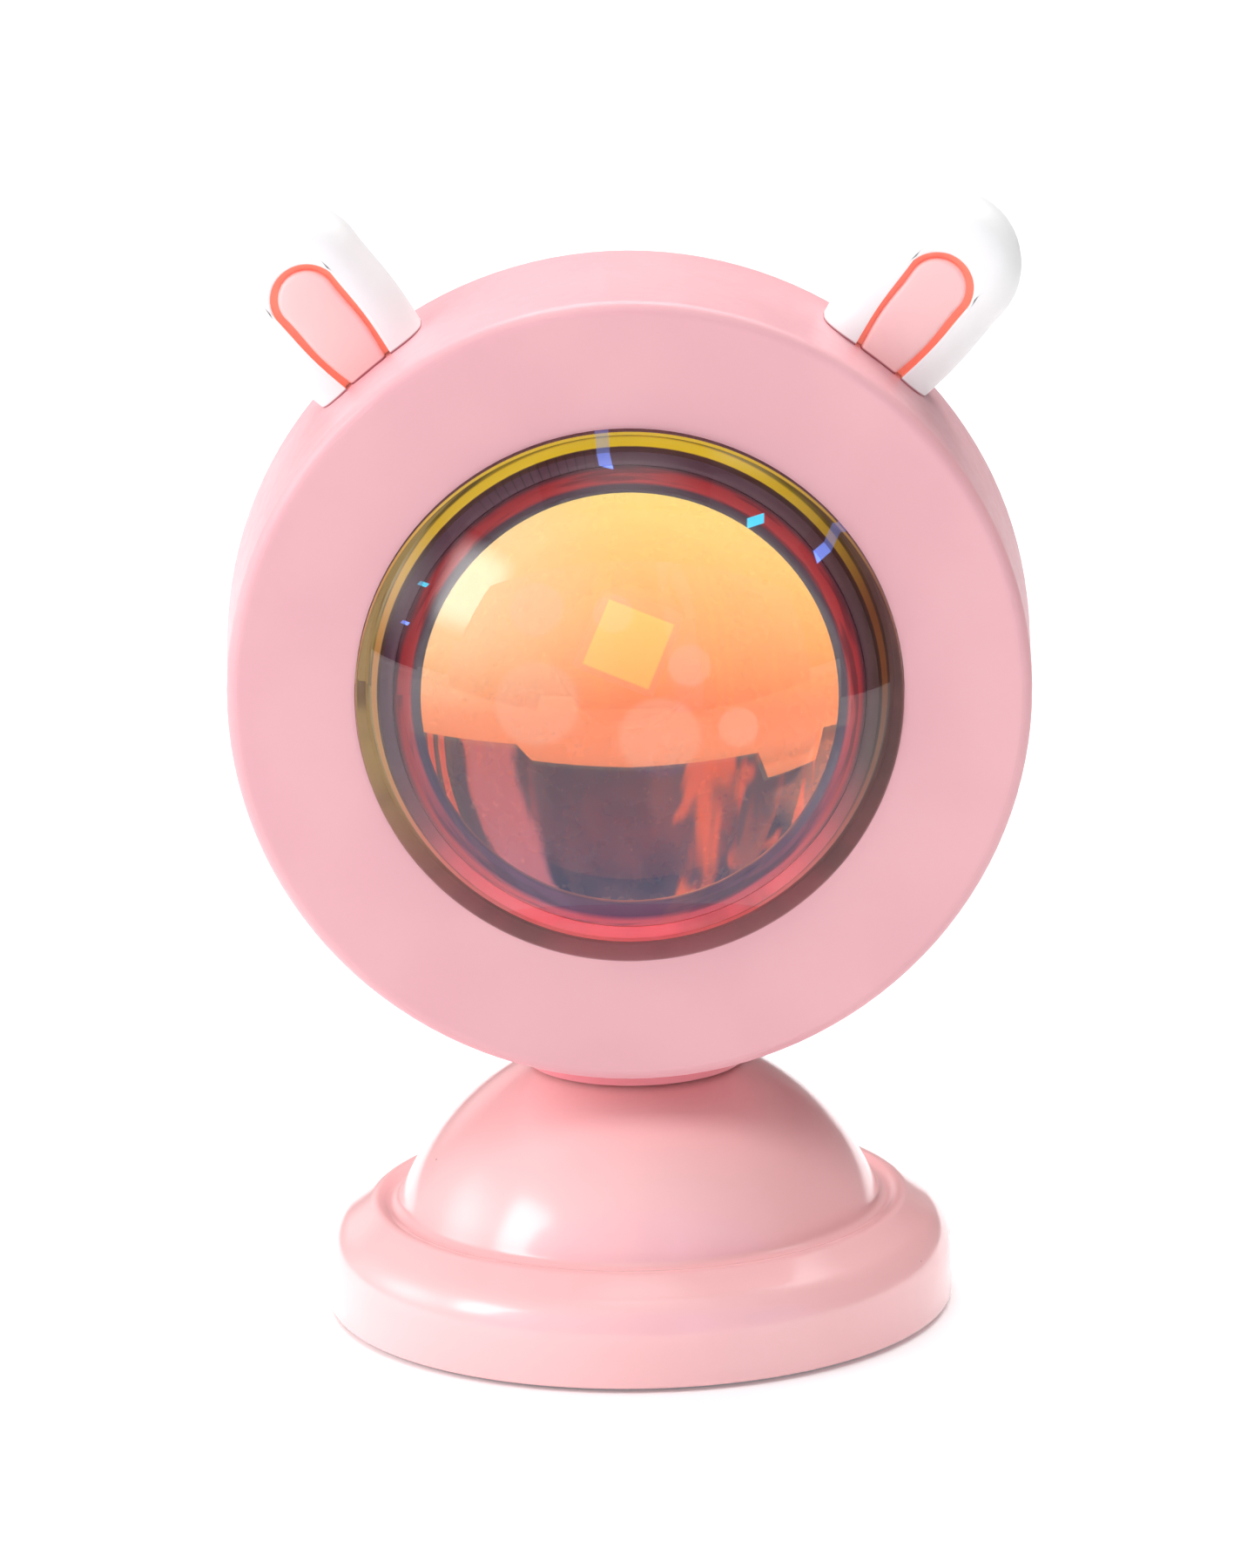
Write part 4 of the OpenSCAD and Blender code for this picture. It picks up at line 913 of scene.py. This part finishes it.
def make_dark_card():
    """Dark card in front of the lamp, seen only in reflections."""
    dark = {"Base_Color": (0, 0, 0, 1), "Specular_IOR_Level": 0.0}
    made = Finish("card_paper", Roughness=0.9, Emission_Strength=1.0, **dark)
    made.feed(Emission_Color=card_colour(made))
    foot = [(-CARD_W / 2, 0), *CARD_FOOT, (CARD_W / 2, 0)]
    bm = bmesh.new()
    low = [bm.verts.new((x, -CARD_AHEAD, z)) for x, z in foot]
    high = [bm.verts.new((x, -CARD_AHEAD, CARD_H)) for x, _ in foot]
    for i in range(len(foot) - 1):
        bm.faces.new((low[i], low[i + 1], high[i + 1], high[i]))
    only_in_reflections(add_object("dark_card", bm, [made.material]))


def make_side_flag():
    """Black flag at the right: it keeps bounced light off the lamp's right side."""
    made = Finish("flag_cloth", Specular_IOR_Level=0.0)
    weave = made.noise(20 * MM)
    cloth = made.mix(weave, (0.01, 0.01, 0.01, 1), (0.03, 0.03, 0.03, 1))
    made.feed(Base_Color=cloth, Roughness=made.spread(weave, 0.85, 0.95))
    low = [(FLAG_X, y, FLAG_LOW_Z) for y in (FLAG_FRONT_Y, FLAG_BACK_Y)]
    high = [(FLAG_X, y, FLAG_HIGH_Z) for y in (FLAG_BACK_Y, FLAG_FRONT_Y)]
    bm = bmesh.new()
    bm.faces.new([bm.verts.new(corner) for corner in low + high])
    flag = add_object("side_flag", bm, [made.material])
    flag.visible_camera = False
    flag.visible_shadow = False


def make_world():
    """White behind the lamp; reflections and fill come from a softer white."""
    world = bpy.data.worlds.new("studio")
    world.use_nodes = True
    made = Tree(world.node_tree)
    background = world.node_tree.nodes["Background"]
    seen = made.node("ShaderNodeLightPath").outputs["Is Camera Ray"]
    made.set(background, "Color", (1, 1, 1, 1))
    made.set(background, "Strength", made.span(seen, 0.0, 1.0, WORLD_FILL, WORLD_SEEN, smooth=False))
    bpy.context.scene.world = world


def area_light(name, spot, width, height, power):
    """A soft light that shows neither in reflections nor through the lens."""
    data = bpy.data.lights.new(name, "AREA")
    data.shape = "RECTANGLE"
    data.size, data.size_y = width, height
    data.energy = power
    made = bpy.data.objects.new(name, data)
    point_at(made, spot, LIGHT_AIM)
    made.visible_glossy = False
    made.visible_transmission = False
    bpy.context.scene.collection.objects.link(made)


def soft_panel(name, spot, width, height, power, fade):
    """A light's glow in reflections, with edges that fade and a middle that makes up for them."""
    dark = {"Base_Color": (0, 0, 0, 1), "Specular_IOR_Level": 0.0}
    made = Finish(f"{name}_glow", Roughness=0.9, Emission_Color=(1, 1, 1, 1), **dark)
    place = made.axes()
    strength = power * (1 + fade) / (math.pi * width * height)
    for axis, size in (("X", width), ("Y", height)):
        away = made.maths("ABSOLUTE", place[axis])
        strength = made.maths("MULTIPLY", strength, made.span(away, size / 2, size / 2 * (1 - fade)))
    made.feed(Emission_Strength=strength)
    bm = bmesh.new()
    corners = [(-1, -1), (1, -1), (1, 1), (-1, 1)]
    bm.faces.new([bm.verts.new((x * width / 2, y * height / 2, 0)) for x, y in corners])
    panel = add_object(f"{name}_panel", bm, [made.material])
    point_at(panel, spot, LIGHT_AIM)
    only_in_reflections(panel)


def make_lights():
    for name, spot, width, height, power, fade in LIGHTS:
        area_light(name, spot, width, height, power)
        if fade is not None:
            soft_panel(name, spot, width, height, power, fade)


def make_camera():
    """Camera at the photograph's viewing angle: elevation, roll and distance fitted to its outlines."""
    elevation = math.radians(15.56)
    roll = math.radians(-1.1)
    distance = 1292 * MM
    target = Vector((-0.43, 0, 54.338)) * MM
    scale = 11.382  # photograph pixels for a millimetre at the target
    long_side = 1800  # of the photograph, in pixels
    sensor = 36
    back = Vector((0, -math.cos(elevation), math.sin(elevation)))
    right = Vector((1, 0, 0))
    up = back.cross(right)
    turned_right = right * math.cos(roll) + up * math.sin(roll)
    turned_up = up * math.cos(roll) - right * math.sin(roll)
    data = bpy.data.cameras.new("camera")
    data.sensor_width = sensor
    data.lens = scale * (distance / MM) * sensor / long_side
    data.clip_start, data.clip_end = 0.05, 20
    made = bpy.data.objects.new("camera", data)
    place = Matrix((turned_right, turned_up, back)).transposed().to_4x4()
    place.translation = target + back * distance
    made.matrix_world = place
    bpy.context.scene.collection.objects.link(made)
    bpy.context.scene.camera = made


def main():
    make_camera()
    materials = make_materials()
    dress_cad_nodes(materials)
    make_lens(materials)
    make_base(materials)
    for side, name in ((-1, "left"), (1, "right")):
        make_ear(side, f"ear_form_{name}", f"ear_{name}", materials)
        make_ear_pad(side, f"ear_pad_{name}", f"ear_inner_{name}", materials)
    make_floor()
    make_dark_card()
    make_side_flag()
    make_world()
    make_lights()
    bpy.context.scene.view_settings.view_transform = "Standard"


main()
